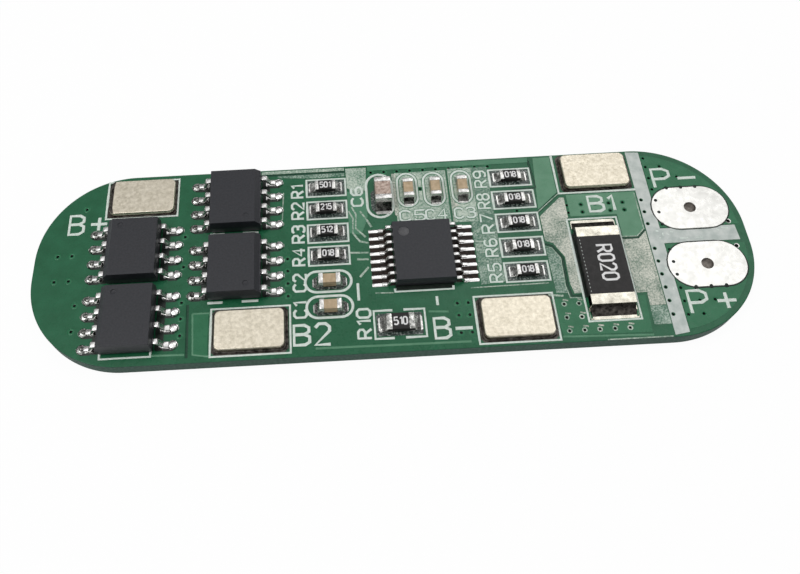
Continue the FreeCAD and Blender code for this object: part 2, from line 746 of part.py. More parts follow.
fill_sheet()
build_board()
build_tabs()
build_packages()
build_resistors()
build_capacitors()
chip("shunt", "shunt", shunt_x, "-Sizes.shunt_middle", True, 90.0)
document.recompute()
check_document()
export_nodes()
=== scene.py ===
import math

import bpy
from mathutils import Matrix, Vector


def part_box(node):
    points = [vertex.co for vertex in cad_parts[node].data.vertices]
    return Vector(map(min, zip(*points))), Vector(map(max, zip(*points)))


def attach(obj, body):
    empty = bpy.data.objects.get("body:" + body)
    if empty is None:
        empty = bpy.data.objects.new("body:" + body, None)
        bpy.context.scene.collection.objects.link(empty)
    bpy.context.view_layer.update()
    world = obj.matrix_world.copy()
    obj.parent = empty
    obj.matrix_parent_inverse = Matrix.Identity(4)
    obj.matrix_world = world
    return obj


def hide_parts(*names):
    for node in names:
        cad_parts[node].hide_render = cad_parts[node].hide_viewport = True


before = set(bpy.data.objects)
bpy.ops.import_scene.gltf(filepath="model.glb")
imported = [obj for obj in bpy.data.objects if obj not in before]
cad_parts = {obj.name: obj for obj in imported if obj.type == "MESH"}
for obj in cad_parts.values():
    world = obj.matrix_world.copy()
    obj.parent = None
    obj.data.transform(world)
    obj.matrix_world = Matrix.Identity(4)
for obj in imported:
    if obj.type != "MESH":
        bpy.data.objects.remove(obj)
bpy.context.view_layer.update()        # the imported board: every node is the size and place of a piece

mm = 0.001
boardLow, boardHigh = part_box("circuit_board")
boardTop = boardHigh.z
print("frame loaded, board top at", round(boardTop / mm, 3), "mm")


# Selecting, applying and finishing
def switchMode(mode):
    bpy.ops.object.mode_set(mode=mode)


def activeObject():
    return bpy.context.view_layer.objects.active


def selectOnly(*pieces):
    bpy.ops.object.select_all(action="DESELECT")
    for piece in pieces:
        piece.select_set(True)
    bpy.context.view_layer.objects.active = pieces[0]


def applyPlace(piece):
    selectOnly(piece)
    bpy.ops.object.transform_apply(location=True, rotation=True, scale=True)


def applyModifier(piece, kind, **settings):
    modifier = piece.modifiers.new(kind.lower(), kind)
    for name, value in settings.items():
        setattr(modifier, name, value)
    selectOnly(piece)
    bpy.ops.object.modifier_apply(modifier=modifier.name)


def editMesh(piece, *steps):
    # each step is a bpy.ops.mesh operator with its settings
    selectOnly(piece)
    switchMode("EDIT")
    bpy.ops.mesh.select_all(action="SELECT")
    for operator, settings in steps:
        operator(**settings)
    switchMode("OBJECT")


def openSelected(piece, kind, wanted):
    # edit mode with only the wanted edges or points selected
    selectOnly(piece)
    switchMode("EDIT")
    bpy.ops.mesh.select_mode(type=kind)
    bpy.ops.mesh.select_all(action="DESELECT")
    switchMode("OBJECT")
    points = piece.data.vertices
    for part in piece.data.edges if kind == "EDGE" else points:
        ends = [points[k] for k in part.vertices] if kind == "EDGE" else [part]
        part.select = wanted(*(end.co for end in ends))
    switchMode("EDIT")


def bevelEdges(piece, wanted, width, segments):
    openSelected(piece, "EDGE", wanted)
    bpy.ops.mesh.bevel(offset=width, segments=segments, affect="EDGES", clamp_overlap=True)
    switchMode("OBJECT")


def movePoints(piece, wanted, move):
    openSelected(piece, "VERT", wanted)
    bpy.ops.transform.translate(value=move)
    switchMode("OBJECT")


# Which edges to bevel, told by their two ends
def isUpright(a, b):
    return abs(a.x - b.x) < 1e-7 and abs(a.y - b.y) < 1e-7


def isLevel(a, b):
    return abs(a.z - b.z) < 1e-7


def above(height):
    return lambda a, b: min(a.z, b.z) > height


def joinPieces(pieces, name):
    selectOnly(*pieces)
    if len(pieces) > 1:
        bpy.ops.object.join()
    joined = activeObject()
    joined.name = name
    return joined


def linkedObject(name, data):
    fresh = bpy.data.objects.new(name, data)
    bpy.context.scene.collection.objects.link(fresh)
    return fresh


def copyOf(piece, offset, halfTurn=False):
    twin = linkedObject(piece.name + "_copy", piece.data.copy())
    twin.rotation_euler.z = math.pi if halfTurn else 0.0
    twin.location = offset
    applyPlace(twin)
    return twin


def finishPiece(piece, material, replaced=(), smoothAngle=35, otherMaterials=()):
    selectOnly(piece)
    bpy.ops.object.shade_smooth_by_angle(angle=math.radians(smoothAngle))
    # broad faces keep their own normal, and the narrow bevels bend between them
    applyModifier(piece, "WEIGHTED_NORMAL", mode="FACE_AREA", weight=100, keep_sharp=True)
    piece.data.materials.clear()
    for each in (material, *otherMaterials):
        piece.data.materials.append(each)
    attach(piece, "root")
    if replaced:
        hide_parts(*replaced)
    return piece


def placeActive(name, scale=(1, 1, 1)):
    # names and sizes the shape just added, with its place put into its mesh
    shape = activeObject()
    shape.name = name
    shape.scale = scale
    applyPlace(shape)
    return shape


def addBlock(name, size, centre):
    bpy.ops.mesh.primitive_cube_add(size=1, location=centre)
    return placeActive(name, size)


def addRod(name, radius, height, centre, sides):
    bpy.ops.mesh.primitive_cylinder_add(vertices=sides, radius=radius, depth=height, location=centre)
    return placeActive(name)


def cutAway(piece, cutters):
    tool = joinPieces(cutters, piece.name + "_cutter")
    applyModifier(piece, "BOOLEAN", object=tool, operation="DIFFERENCE", solver="EXACT")
    bpy.data.objects.remove(tool)


def dressedCopy(node, name, edge, segments):
    # the node's own form, welded, with its edges broken
    piece = linkedObject(name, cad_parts[node].data.copy())
    editMesh(
        piece,
        (bpy.ops.mesh.remove_doubles, {"threshold": 1e-7}),
        (bpy.ops.mesh.dissolve_limited, {"angle_limit": math.radians(1)}),
    )
    applyModifier(piece, "BEVEL", width=edge, segments=segments, limit_method="ANGLE",
                  angle_limit=math.radians(30), use_clamp_overlap=True)
    return piece


def middleOf(node):
    low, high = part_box(node)
    return (low + high) / 2


# Materials
def setInputs(node, settings):
    for socket, value in settings.items():
        node.inputs[socket].default_value = value


def addNode(owner, kind, settings={}):     # owner is a material or the world
    node = owner.node_tree.nodes.new("ShaderNode" + kind)
    setInputs(node, settings)
    return node


def link(output, socket):
    socket.id_data.links.new(output, socket)


def linkShader(material, output, socket):
    link(output, material.node_tree.nodes["Principled BSDF"].inputs[socket])


def newMaterial(name, settings):
    material = bpy.data.materials.new(name)
    material.use_nodes = True
    setInputs(material.node_tree.nodes["Principled BSDF"], settings)
    return material


def noiseOf(material, scale, detail=3, roughness=0.55):
    noise = addNode(material, "TexNoise", {"Scale": scale, "Detail": detail, "Roughness": roughness})
    link(addNode(material, "TexCoord").outputs["Object"], noise.inputs["Vector"])
    return noise.outputs["Fac"]


def rampColour(material, factor, dark, pale, low, high):
    # dark up to low, pale from high on
    ramp = addNode(material, "ValToRGB")
    for element, position, colour in zip(ramp.color_ramp.elements, (low, high), (dark, pale)):
        element.position = position
        element.color = (*colour, 1)
    link(factor, ramp.inputs["Fac"])
    linkShader(material, ramp.outputs["Color"], "Base Color")


def mottleRoughness(material, low, high, scale):
    spread = addNode(material, "MapRange", {"From Min": 0.3, "From Max": 0.7, "To Min": low, "To Max": high})
    link(noiseOf(material, scale), spread.inputs["Value"])
    linkShader(material, spread.outputs["Result"], "Roughness")


def addBumps(material, *layers):
    # each layer is a scale, a detail, a strength and a depth in metres
    normal = None
    for scale, detail, strength, depth in layers:
        bump = addNode(material, "Bump", {"Strength": strength, "Distance": depth})
        link(noiseOf(material, scale, detail), bump.inputs["Height"])
        if normal:
            link(normal, bump.inputs["Normal"])
        normal = bump.outputs["Normal"]
    linkShader(material, normal, "Normal")


def makeMask(name, dark, pale):
    material = newMaterial(name, {"Specular IOR Level": 0.22, "Coat Weight": 0.12, "Coat Roughness": 0.12})
    rampColour(material, noiseOf(material, 900, 4), dark, pale, 0.3, 0.7)
    mottleRoughness(material, 0.22, 0.38, 2600)
    addBumps(material, (5200, 3, 0.5, 1e-5), (900, 2, 0.4, 1.6e-5))
    return material


def makeGlareMask(name, green, silver, low, high):
    # painted glare: fine pale speckle over copper, in patches that come and go
    material = newMaterial(name, {"Specular IOR Level": 0.4, "Coat Weight": 0.2, "Coat Roughness": 0.15})
    blend = addNode(material, "Mix", {"Factor": 0.38})
    link(noiseOf(material, 7500, 3, 0.7), blend.inputs["A"])
    link(noiseOf(material, 620, 2), blend.inputs["B"])
    rampColour(material, blend.outputs["Result"], green, silver, low, high)
    mottleRoughness(material, 0.22, 0.42, 5200)
    addBumps(material, (6500, 3, 0.7, 2e-5), (1200, 2, 0.5, 3e-5))
    return material


def makeMetal(name, dark, pale, grain, low, high, depth):
    # low and high are the bounds of the roughness
    material = newMaterial(name, {"Metallic": 1.0})
    rampColour(material, noiseOf(material, grain * 0.4), dark, pale, 0.3, 0.7)
    mottleRoughness(material, low, high, grain)
    addBumps(material, (grain, 4, 0.6, depth), (grain * 0.22, 2, 0.5, depth * 3))
    return material


def makeCeramic(name, dark, pale, roughness, grain=5000, low=0.35, high=0.65, gloss=0.4):
    # low and high are where the colour turns from dark to pale
    material = newMaterial(name, {"Specular IOR Level": gloss, "Coat Weight": 0.1, "Coat Roughness": 0.3})
    rampColour(material, noiseOf(material, grain * 0.5), dark, pale, low, high)
    mottleRoughness(material, roughness * 0.85, roughness * 1.15, grain)
    addBumps(material, (grain, 4, 0.5, 8e-6))
    return material


maskBare = makeMask("green mask over laminate", (0.01, 0.1, 0.042), (0.016, 0.128, 0.058))
maskCopper = makeMask("green mask over copper", (0.018, 0.138, 0.06), (0.028, 0.168, 0.078))
# the pale and paler masks are mask over copper, lightened further by painted glare
maskPale = makeMask("pale mask over copper with painted glare", (0.055, 0.2, 0.112), (0.085, 0.245, 0.142))
maskPaler = makeMask("paler mask over copper with painted glare", (0.085, 0.235, 0.135), (0.125, 0.29, 0.18))
# the gap mask is darker than bare mask: painted shade in the channels
maskGap = makeMask("green mask in a gap", (0.005, 0.045, 0.022), (0.008, 0.06, 0.03))
# the speckled, faint and silvery masks are painted glare
paintedGlare = makeGlareMask("mask with painted glare", (0.07, 0.2, 0.122), (0.57, 0.65, 0.56), 0.37, 0.6)
paintedGlareFaint = makeGlareMask("mask with faint painted glare", (0.045, 0.15, 0.09), (0.42, 0.52, 0.44), 0.44, 0.62)
paintedGlareStrong = makeGlareMask("mask with strong painted glare", (0.1, 0.18, 0.125), (0.66, 0.67, 0.58), 0.38, 0.6)
laminateEdge = makeCeramic("sawn laminate edge", (0.018, 0.056, 0.04), (0.048, 0.098, 0.074), 0.7, 9000, gloss=0.1)
printWhite = makeCeramic("pale print", (0.62, 0.72, 0.65), (0.76, 0.82, 0.77), 0.6, 9000)
printGrey = makeCeramic("grey band print", (0.44, 0.5, 0.47), (0.62, 0.66, 0.63), 0.35, 3000)
mouldedEpoxy = makeCeramic("moulded epoxy", (0.015, 0.016, 0.021), (0.024, 0.025, 0.031), 0.5, 14000)
figureWhite = makeCeramic("figure print", (0.72, 0.72, 0.72), (0.86, 0.85, 0.85), 0.6, 9000)
dimpleEpoxy = makeCeramic("polished mark", (0.058, 0.058, 0.062), (0.08, 0.08, 0.085), 0.35, 14000)
glassCoat = makeCeramic("black glass coat", (0.008, 0.007, 0.007), (0.018, 0.016, 0.016), 0.35, 7000, gloss=0.22)
tanCeramic = makeCeramic("tan ceramic", (0.4, 0.29, 0.17), (0.55, 0.42, 0.27), 0.4, 5000)
pinkCeramic = makeCeramic("pinkish ceramic", (0.28, 0.18, 0.14), (0.66, 0.54, 0.46), 0.4, 9000)
# a dark film with paler flecks under the chips' joints: painted shade
jointShadeFilm = makeCeramic("painted shade at the joints", (0.02, 0.036, 0.031), (0.34, 0.38, 0.35), 0.22, 15000, 0.5, 0.7)
# a dark brown film beside the controller, between its leads: painted shade
brownShadeFilm = makeCeramic("brown painted shade", (0.008, 0.005, 0.004), (0.032, 0.02, 0.015), 0.5, 12000, gloss=0.1)
# a near-black film laid beside bodies, under the feet and beside the shunt: painted shade
shadeFilm = makeCeramic("painted shade", (0.003, 0.008, 0.005), (0.012, 0.022, 0.015), 0.4, 12000)
nickel = makeMetal("rolled nickel", (0.55, 0.5, 0.395), (0.78, 0.72, 0.6), 11000, 0.3, 0.44, 1e-5)
tinnedPad = makeMetal("tinned copper", (0.59, 0.585, 0.56), (0.68, 0.675, 0.65), 2600, 0.24, 0.34, 1.6e-6)
# a darkened hole lining: painted shade in the hole
barrelInShade = makeMetal("hole lining in painted shade", (0.14, 0.125, 0.11), (0.3, 0.27, 0.24), 9000, 0.35, 0.55, 1e-5)
leadTin = makeMetal("lead plating", (0.66, 0.65, 0.64), (0.84, 0.83, 0.82), 6000, 0.2, 0.34, 8e-6)
capTin = makeMetal("chip end plating", (0.42, 0.42, 0.41), (0.86, 0.85, 0.82), 11000, 0.18, 0.36, 1.6e-5)
foilTin = makeMetal("wrinkled end plating", (0.3, 0.285, 0.24), (0.69, 0.66, 0.57), 3600, 0.16, 0.3, 4e-5)
brightSolder = makeMetal("bright solder", (0.74, 0.73, 0.72), (0.93, 0.92, 0.91), 3600, 0.12, 0.26, 1.6e-5)
chipSolder = makeMetal("rough solder", (0.12, 0.125, 0.115), (0.8, 0.8, 0.77), 12000, 0.14, 0.3, 2.6e-5)
# a darkened copy of solder for parts in shade: painted shade
shadedSolder = makeMetal("shaded solder", (0.012, 0.013, 0.012), (0.3, 0.3, 0.28), 9000, 0.16, 0.34, 2.4e-5)
# solder darkened almost to black: painted shade
solderInShade = makeMetal("solder in painted shade", (0.01, 0.009, 0.008), (0.11, 0.1, 0.09), 9000, 0.24, 0.45, 2e-5)
# dark walls of holes: painted shade in the recesses; the dark rings round the output pads use it too
holeDark = makeCeramic("dark hole wall", (0.004, 0.01, 0.007), (0.01, 0.02, 0.014), 0.6, 9000)
print("materials made")


# Bare board: a plate with rounded ends, drilled for the vias and the output wires
plate = {"endRadius": 7.2 * mm, "edge": 0.06 * mm, "roundSteps": 40, "viaRadius": 0.17 * mm, "viaSides": 20,
         "barrelRadius": 0.61 * mm, "pocketDepth": 0.05 * mm, "pocketRoom": 0.02 * mm,
         "sideRim": 0.5 * mm, "endRim": 0.3 * mm}
padNodes = ["output_pad_negative", "output_pad_positive"]


def viaCentres():
    # each via's wall has six corners at the board's upper side
    corners = [v.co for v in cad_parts["circuit_board"].data.vertices if v.co.z > boardTop - 0.1 * mm]
    spots = {(round(c.x * 1e7), round(c.y * 1e7)) for c in corners}
    points = [Vector((x * 1e-7, y * 1e-7, 0)) for x, y in sorted(spots)]
    centres = []
    while points:
        cluster = [points.pop(0)]
        for member in cluster:
            near = [p for p in points if (p - member).length < 1.3 * plate["viaRadius"]]
            points = [p for p in points if p not in near]
            cluster += near
        if len(cluster) == 6:
            centres.append(sum(cluster, Vector()) / 6)
    return centres


def roundEnds(block, width):
    # a bevel of nearly half the width leaves an oval
    bevelEdges(block, isUpright, width / 2 * 0.97, 24)


def onOuterEdge(spot):
    overX = max(abs(spot.x) - boardHigh.x + plate["endRadius"], 0)
    overY = max(abs(spot.y) - boardHigh.y + plate["endRadius"], 0)
    return (abs(spot.y) > boardHigh.y - plate["sideRim"]
            or math.hypot(overX, overY) > plate["endRadius"] - plate["endRim"])


def buildPlate(vias):
    size = boardHigh - boardLow
    board = addBlock("board_plate", size, (boardHigh + boardLow) / 2)
    bevelEdges(board, isUpright, plate["endRadius"], plate["roundSteps"])
    bevelEdges(board, isLevel, plate["edge"], 2)
    drills = [addRod("drill", plate["viaRadius"], 3 * size.z, (v.x, v.y, size.z / 2), plate["viaSides"])
              for v in vias]
    drills += [addRod("drill", plate["barrelRadius"], 3 * size.z, middleOf(n), 40) for n in padNodes]
    cutAway(board, drills)
    for low, high in (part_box(n) for n in padNodes):
        # the lower pads lie flush in shallow pockets
        wide = high - low + 2 * Vector((plate["pocketRoom"], plate["pocketRoom"], 0))
        pocket = addBlock("pocket", (wide.x, wide.y, 2 * plate["pocketDepth"]),
                          (*((low + high) / 2).xy, boardLow.z))
        roundEnds(pocket, wide.y)
        cutAway(board, [pocket])
    finishPiece(board, maskBare, ["circuit_board"], 14, (laminateEdge, holeDark))
    # the walls of the drills and pockets take the dark wall colour: painted shade
    for face in board.data.polygons:
        if abs(face.normal.z) < 0.5:
            face.material_index = 1 if onOuterEdge(face.center) else 2


viaRim = {"outer": 0.27 * mm, "inner": 0.105 * mm, "bareInner": 0.13 * mm, "height": 0.035 * mm,
          "padMargin": 0.05 * mm, "bareFrom": 25.2 * mm, "glintFrom": 11 * mm, "glintTo": 19 * mm, "glintBelow": -4 * mm}


def buildViaRims(name, spots, material, inner):
    outer = viaRim["outer"]
    bpy.ops.mesh.primitive_torus_add(major_radius=(outer + inner) / 2, minor_radius=(outer - inner) / 2,
                                     major_segments=20, minor_segments=8, location=(0, 0, 0))
    ring = placeActive("ring", (1, 1, viaRim["height"] / (outer - inner)))
    rings = [copyOf(ring, (v.x, v.y, boardTop)) for v in spots]
    bpy.data.objects.remove(ring)
    finishPiece(joinPieces(rings, name), material)


vias = viaCentres()
buildPlate(vias)


def onPad(spot, margin):
    for low, high in (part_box(n) for n in padNodes):
        halfWidth = (high.y - low.y) / 2
        nearest = Vector((min(max(spot.x, low.x + halfWidth), high.x - halfWidth), (low.y + high.y) / 2))
        if (spot.xy - nearest).length < halfWidth + margin:
            return True
    return False


freeVias = [v for v in vias if not onPad(v, viaRim["padMargin"])]
bareVias = [v for v in freeVias if v.x > viaRim["bareFrom"]]
# vias in this patch get pale speckled rims: painted glints
glintVias = [v for v in freeVias
            if viaRim["glintFrom"] < v.x < viaRim["glintTo"] and v.y < viaRim["glintBelow"]]
maskedVias = [v for v in freeVias if v not in bareVias and v not in glintVias]
buildViaRims("masked_via_rims", maskedVias, maskCopper, viaRim["inner"])
buildViaRims("glint_via_rims", glintVias, paintedGlare, viaRim["inner"])
print("board made with", len(vias), "vias")


# Output pads: tinned faces on both sides of the board, joined by the lined hole
pad = {"thickness": 0.07 * mm, "hole": 0.45 * mm, "barrel": 0.6 * mm, "dot": 0.13 * mm, "crown": 0.03 * mm}


def buildOutputPad(node):
    low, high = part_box(node)
    middle = (low + high) / 2
    size = Vector((high.x - low.x, high.y - low.y, pad["thickness"]))
    # vias that meet the pad show as small dots
    dots = [v for v in vias if onPad(v, pad["dot"]) and abs(v.y - middle.y) < size.y / 2 + pad["dot"]]
    pieces = []
    for z in (low.z + pad["thickness"] / 2, high.z - pad["thickness"] / 2):
        face = addBlock(node + "_face", size, (middle.x, middle.y, z))
        roundEnds(face, size.y)
        bevelEdges(face, isLevel, pad["crown"], 2)
        drills = [addRod("hole", pad["hole"], 4 * pad["thickness"], (middle.x, middle.y, z), 48)]
        if z > middle.z:
            drills += [addRod("dot", pad["dot"], pad["thickness"], (v.x, v.y, high.z), 16) for v in dots]
        cutAway(face, drills)
        pieces.append(face)
    barrel = addRod(node + "_barrel", pad["barrel"], high.z - low.z - pad["thickness"], middle, 48)
    cutAway(barrel, [addRod("hole", pad["hole"], 2 * high.z, middle, 48)])
    whole = joinPieces(pieces + [barrel], node + "_tinned")
    finishPiece(whole, tinnedPad, [node], 14, (holeDark, barrelInShade))
    # the hole wall takes the darkened lining, and the walls of the via dots the dark wall colour: painted shade
    for face in whole.data.polygons:
        if abs(face.normal.z) < 0.5 and (face.center.xy - middle.xy).length < 1.02 * pad["hole"]:
            face.material_index = 2
        inDot = any((face.center.xy - v.xy).length < 1.1 * pad["dot"] for v in vias)
        if inDot and high.z - pad["thickness"] < face.center.z < high.z - 0.2 * pad["thickness"]:
            face.material_index = 1


for padNode in padNodes:
    buildOutputPad(padNode)
buildViaRims("bare_via_rims", bareVias, tinnedPad, viaRim["bareInner"])
print("output pads made")


# Battery tabs: nickel plates with rounded corners on beds of solder
tab = {"corner": 0.42 * mm, "edge": 0.07 * mm, "rim": 0.14 * mm}


def buildTab(node, bedLow):
    low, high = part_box(node)
    nickelPlate = addBlock(node + "_plate", high - low, (low + high) / 2)
    bevelEdges(nickelPlate, isUpright, tab["corner"], 8)
    bevelEdges(nickelPlate, isLevel, tab["edge"], 3)
    finishPiece(nickelPlate, nickel, [node])
    bedSize = high - low + 2 * Vector((tab["rim"], tab["rim"], 0))
    bedSize.z = low.z - bedLow
    bed = addBlock(node + "_bed", bedSize, (*((low + high) / 2).xy, (low.z + bedLow) / 2))
    bevelEdges(bed, isUpright, tab["corner"], 5)
    bevelEdges(bed, above(low.z - 1e-7), tab["edge"], 3)
    return bed


tabNodes = ["battery_tab_" + which for which in ("positive", "negative", "first", "second")]
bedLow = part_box("tab_solder")[0].z
beds = [buildTab(node, bedLow) for node in tabNodes]
# the beds, wider than the tabs, show as a rim of darkened solder: painted shade
finishPiece(joinPieces(beds, "tab_solder_beds"), solderInShade, ["tab_solder"])
print("battery tabs made")


# Packages: moulded bodies, gull-wing leads and the solder at their feet
def buildPackage(name, kind):
    body = dressedCopy(name + "_body", name + "_moulding", kind["bodyEdge"], 3)
    finishPiece(body, mouldedEpoxy, [name + "_body"])
    leads = dressedCopy(name + "_leads", name + "_lead_set", kind["leadEdge"], 2)
    leanLeads(leads, name + "_leads", kind)
    finishPiece(leads, leadTin, [name + "_leads"], 50)
    low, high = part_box(name + "_solder")
    middle = (low + high) / 2
    landLength, film, bead = kind["landLength"], kind["film"], kind["bead"]
    land = addBlock("land", (landLength, kind["landWidth"], film),
                    (high.x - landLength / 2, middle.y, low.z + film / 2))
    bevelEdges(land, lambda a, b: isUpright(a, b) and a.x > high.x - 0.1 * mm, kind["landCorner"], 8)
    if not bead:
        bevelEdges(land, above(low.z + film * 0.9), 0.02 * mm, 2)
        repeatFeet(land, kind, middle, name)
        return
    beadSolder = addDome("bead", bead, (high.x - bead[0] * kind["beadIn"], middle.y, low.z + film * 0.5))
    feet = repeatFeet(joinPieces([land, beadSolder], "foot"), kind, middle, name)
    # the left rows take the darker solder: painted shade
    feet.data.materials.append(chipSolder)
    for face in feet.data.polygons:
        face.material_index = int(face.center.x < middle.x)
    toe = addDome("toe", kind["toe"], (high.x - bead[0] * kind["toeIn"], middle.y, low.z + film))
    heart = addDome("heart", kind["heart"], (low.x + bead[0] * kind["heartIn"], middle.y, low.z + film))
    # dark domes by the right beads and over the middle of the left beads: painted shade
    for side, piece, material in (("right", toe, shadeFilm), ("left", heart, shadedSolder)):
        spots = [copyOf(piece, (0, along, 0)) for along in rowPlaces(kind)]
        bpy.data.objects.remove(piece)
        finishPiece(joinPieces(spots, name + "_" + side + "_painted_shade"), material, smoothAngle=60)


def leanLeads(leads, node, kind):
    # the arms slope a little further out than the plain leads do
    middle = middleOf(node)
    nearest, furthest = kind["armZone"]
    for side in (-1, 1):
        for upper, shift in ((True, kind["armShift"]), (False, kind["heelShift"])):
            movePoints(
                leads,
                lambda p: nearest < side * (p.x - middle.x) < furthest and (p.z > middle.z) == upper,
                (side * shift, 0, 0),
            )


def addDome(name, radii, base):
    bpy.ops.mesh.primitive_uv_sphere_add(segments=20, ring_count=12, radius=1, location=base)
    dome = placeActive(name, radii)
    half = {"plane_co": base, "plane_no": (0, 0, 1), "clear_inner": True, "use_fill": True}
    editMesh(dome, (bpy.ops.mesh.bisect, half))
    return dome


def rowPlaces(kind):
    return [(row - (kind["count"] - 1) / 2) * kind["pitch"] for row in range(kind["count"])]


def repeatFeet(foot, kind, middle, name):
    feet = []
    for along in rowPlaces(kind):
        feet.append(copyOf(foot, (0, along, 0)))
        feet.append(copyOf(foot, (2 * middle.x, 2 * middle.y - along, 0), halfTurn=True))
    bpy.data.objects.remove(foot)
    return finishPiece(joinPieces(feet, name + "_solder_feet"), brightSolder, [name + "_solder"], 50)


# beadIn, toeIn and heartIn count from the end of the solder, in half lengths of a bead
powerPackage = {"bodyEdge": 0.035 * mm, "leadEdge": 0.035 * mm, "count": 4, "pitch": 1.27 * mm,
                "landLength": 1.36 * mm, "landWidth": 0.52 * mm, "landCorner": 0.25 * mm, "film": 0.04 * mm,
                "bead": (0.37 * mm, 0.38 * mm, 0.19 * mm), "toe": (0.06 * mm, 0.22 * mm, 0.2 * mm),
                "heart": (0.25 * mm, 0.23 * mm, 0.225 * mm), "beadIn": 1.02, "toeIn": 1.75, "heartIn": 1.2,
                "armZone": (2.1 * mm, 2.6 * mm), "armShift": 0, "heelShift": 0.16 * mm}
finePackage = {"bodyEdge": 0.03 * mm, "leadEdge": 0.02 * mm, "count": 8, "pitch": 0.65 * mm,
               "landLength": 1.14 * mm, "landWidth": 0.29 * mm, "landCorner": 0.08 * mm, "film": 0.05 * mm,
               "bead": None, "armZone": (2.3 * mm, 2.8 * mm), "armShift": 0.15 * mm, "heelShift": 0.26 * mm}
for k in range(1, 5):
    buildPackage("mosfet_%d" % k, powerPackage)
buildPackage("controller", finePackage)
print("packages made")


# Chip parts: cores, plated ends and the solder that holds them
chipEdges = {"core": 0.02 * mm, "cap": 0.035 * mm, "roundCap": 0.08 * mm, "solder": 0.05 * mm}
frontShade = {"tilt": -0.3, "from": -1.5 * mm}


def buildChip(name, coreMaterial, capEdge, capMaterial=capTin):
    core = dressedCopy(name + "_body", name + "_core", chipEdges["core"], 2)
    finishPiece(core, coreMaterial, [name + "_body"])
    caps = dressedCopy(name + "_end_caps", name + "_plated_ends", capEdge, 3)
    finishPiece(caps, capMaterial, [name + "_end_caps"])


for k in range(1, 11):
    buildChip("resistor_%d" % k, glassCoat, chipEdges["cap"], chipSolder if k == 10 else capTin)
for k in range(1, 6):
    buildChip("capacitor_%d" % k, tanCeramic, chipEdges["roundCap"])
buildChip("capacitor_6", pinkCeramic, chipEdges["roundCap"])
buildChip("shunt", glassCoat, chipEdges["cap"], foilTin)
# the shunt's fillets take the darkened solder: painted shade
for node, material in (("resistor_solder", chipSolder), ("capacitor_solder", chipSolder), ("shunt_solder", solderInShade)):
    fillets = dressedCopy(node, node + "_fillets", chipEdges["solder"], 3)
    finishPiece(fillets, material, [node], 60)
    if node == "capacitor_solder":
        # the ends nearest the front take the shaded solder: painted shade
        fillets.data.materials.append(shadedSolder)
        for face in fillets.data.polygons:
            face.material_index = int(face.normal.y < frontShade["tilt"] and face.center.x > frontShade["from"])
mark = {"centre": (1.05 * mm, 1.11 * mm), "radius": 0.42 * mm, "floor": 2.25 * mm, "height": 0.02 * mm,
        "edge": 0.01 * mm}
disc = addRod("controller_mark", mark["radius"], mark["height"],
              (*mark["centre"], mark["floor"] + mark["height"] / 2), 32)
bevelEdges(disc, above(mark["floor"] + mark["height"] * 0.9), mark["edge"], 2)
finishPiece(disc, dimpleEpoxy)
print("chip parts made")


# Relief in the mask: copper areas, some lightened by painted glare, tracks and the gaps between them, with painted
# shade at the joints.
# Heights over the board, radii and places are in mm from here on.
relief = {"floor": -0.02, "shade": 0.008, "film": 0.012, "land": 0.018, "pour": 0.022, "strip": 0.027, "band": 0.03,
          "meniscus": 0.1, "viaGap": 0.2, "bandViaGap": 0.15, "padGap": 0.66}


def circlePoints(centre, radius, steps):
    angles = [2 * math.pi * k / steps for k in range(steps)]
    return [(centre[0] + radius * math.cos(a), centre[1] + radius * math.sin(a)) for a in angles]


def meshThrough(curve, outlines, closed, lift, squeeze=1):
    # the curve runs through each outline's points, in mm, and becomes a mesh, lifted over the board
    for outline in outlines:
        spline = curve.splines.new("POLY")
        spline.points.add(len(outline) - 1)
        spline.use_cyclic_u = closed
        for point, (x, y) in zip(spline.points, outline):
            point.co = (x * mm, y * mm, 0, 1)
    selectOnly(linkedObject(curve.name, curve))
    bpy.ops.object.convert(target="MESH")
    activeObject().location.z = boardTop + lift * mm
    return placeActive(curve.name, (1, 1, squeeze))


def drawPlates(name, outlines, top, material, holes=(), bottom=relief["floor"]):
    shape = bpy.data.curves.new(name, "CURVE")
    shape.dimensions = "2D"
    shape.fill_mode = "BOTH"
    shape.extrude = (top - bottom) / 2 * mm
    plates = meshThrough(shape, outlines + list(holes), True, (top + bottom) / 2)
    finishPiece(plates, material, smoothAngle=14)


def inside(point, outline):
    x, y = point
    hit = False
    for (xa, ya), (xb, yb) in zip(outline, outline[1:] + outline[:1]):
        if (ya > y) != (yb > y) and x < xa + (y - ya) * (xb - xa) / (yb - ya):
            hit = not hit
    return hit


strongGlarePours = [
    [(11.9, 2.6), (13.4, 3.95), (13.75, 3.95), (13.75, 2.15), (13.55, 1.9), (13.55, -4.25), (13, -4.25), (12.82, -3.4),
     (12.87, -1.2), (12.2, -0.02), (11.66, 0.22), (11.64, 2.35)],
    [(17.45, -0.02), (18.66, -0.02), (19.3, 0.6), (19.32, -5.5), (18.16, -5.5), (18.2, -4.45), (17.45, -4.45)]]
glarePours = [
    [(0.75, 2.25), (0.85, 7.05), (4.9, 7.1), (4.85, 2.25)],
    [(-3, 7.75), (-1.36, 7.75), (-1.5, 5.6), (-2.2, 5.3), (-2.95, 5.9)],
    [(5.02, 2.25), (5.06, 7.2), (6.95, 7.2), (6.95, 2.25)],
    [(-9.65, 7.85), (-3.1, 7.85), (-3.1, 7.58), (-9.65, 7.58)]]
faintGlarePours = [
    [(-8.4, 7.36), (-3.1, 7.36), (-3.1, 7.04), (-5.6, 6.98), (-8.4, 7.2)],
    [(6.98, 2.25), (6.98, 7.2), (8.2, 7.2), (8.15, -3), (6.4, -3.15), (6.35, 2.25)],
    [(11.6, -0.38), (12, -0.5), (12.52, -1.38), (12.46, -3.6), (12.55, -4.2), (11.7, -4.15)],
    [(18.14, -5.53), (19.32, -5.53), (19.32, -7), (18.12, -7)]]
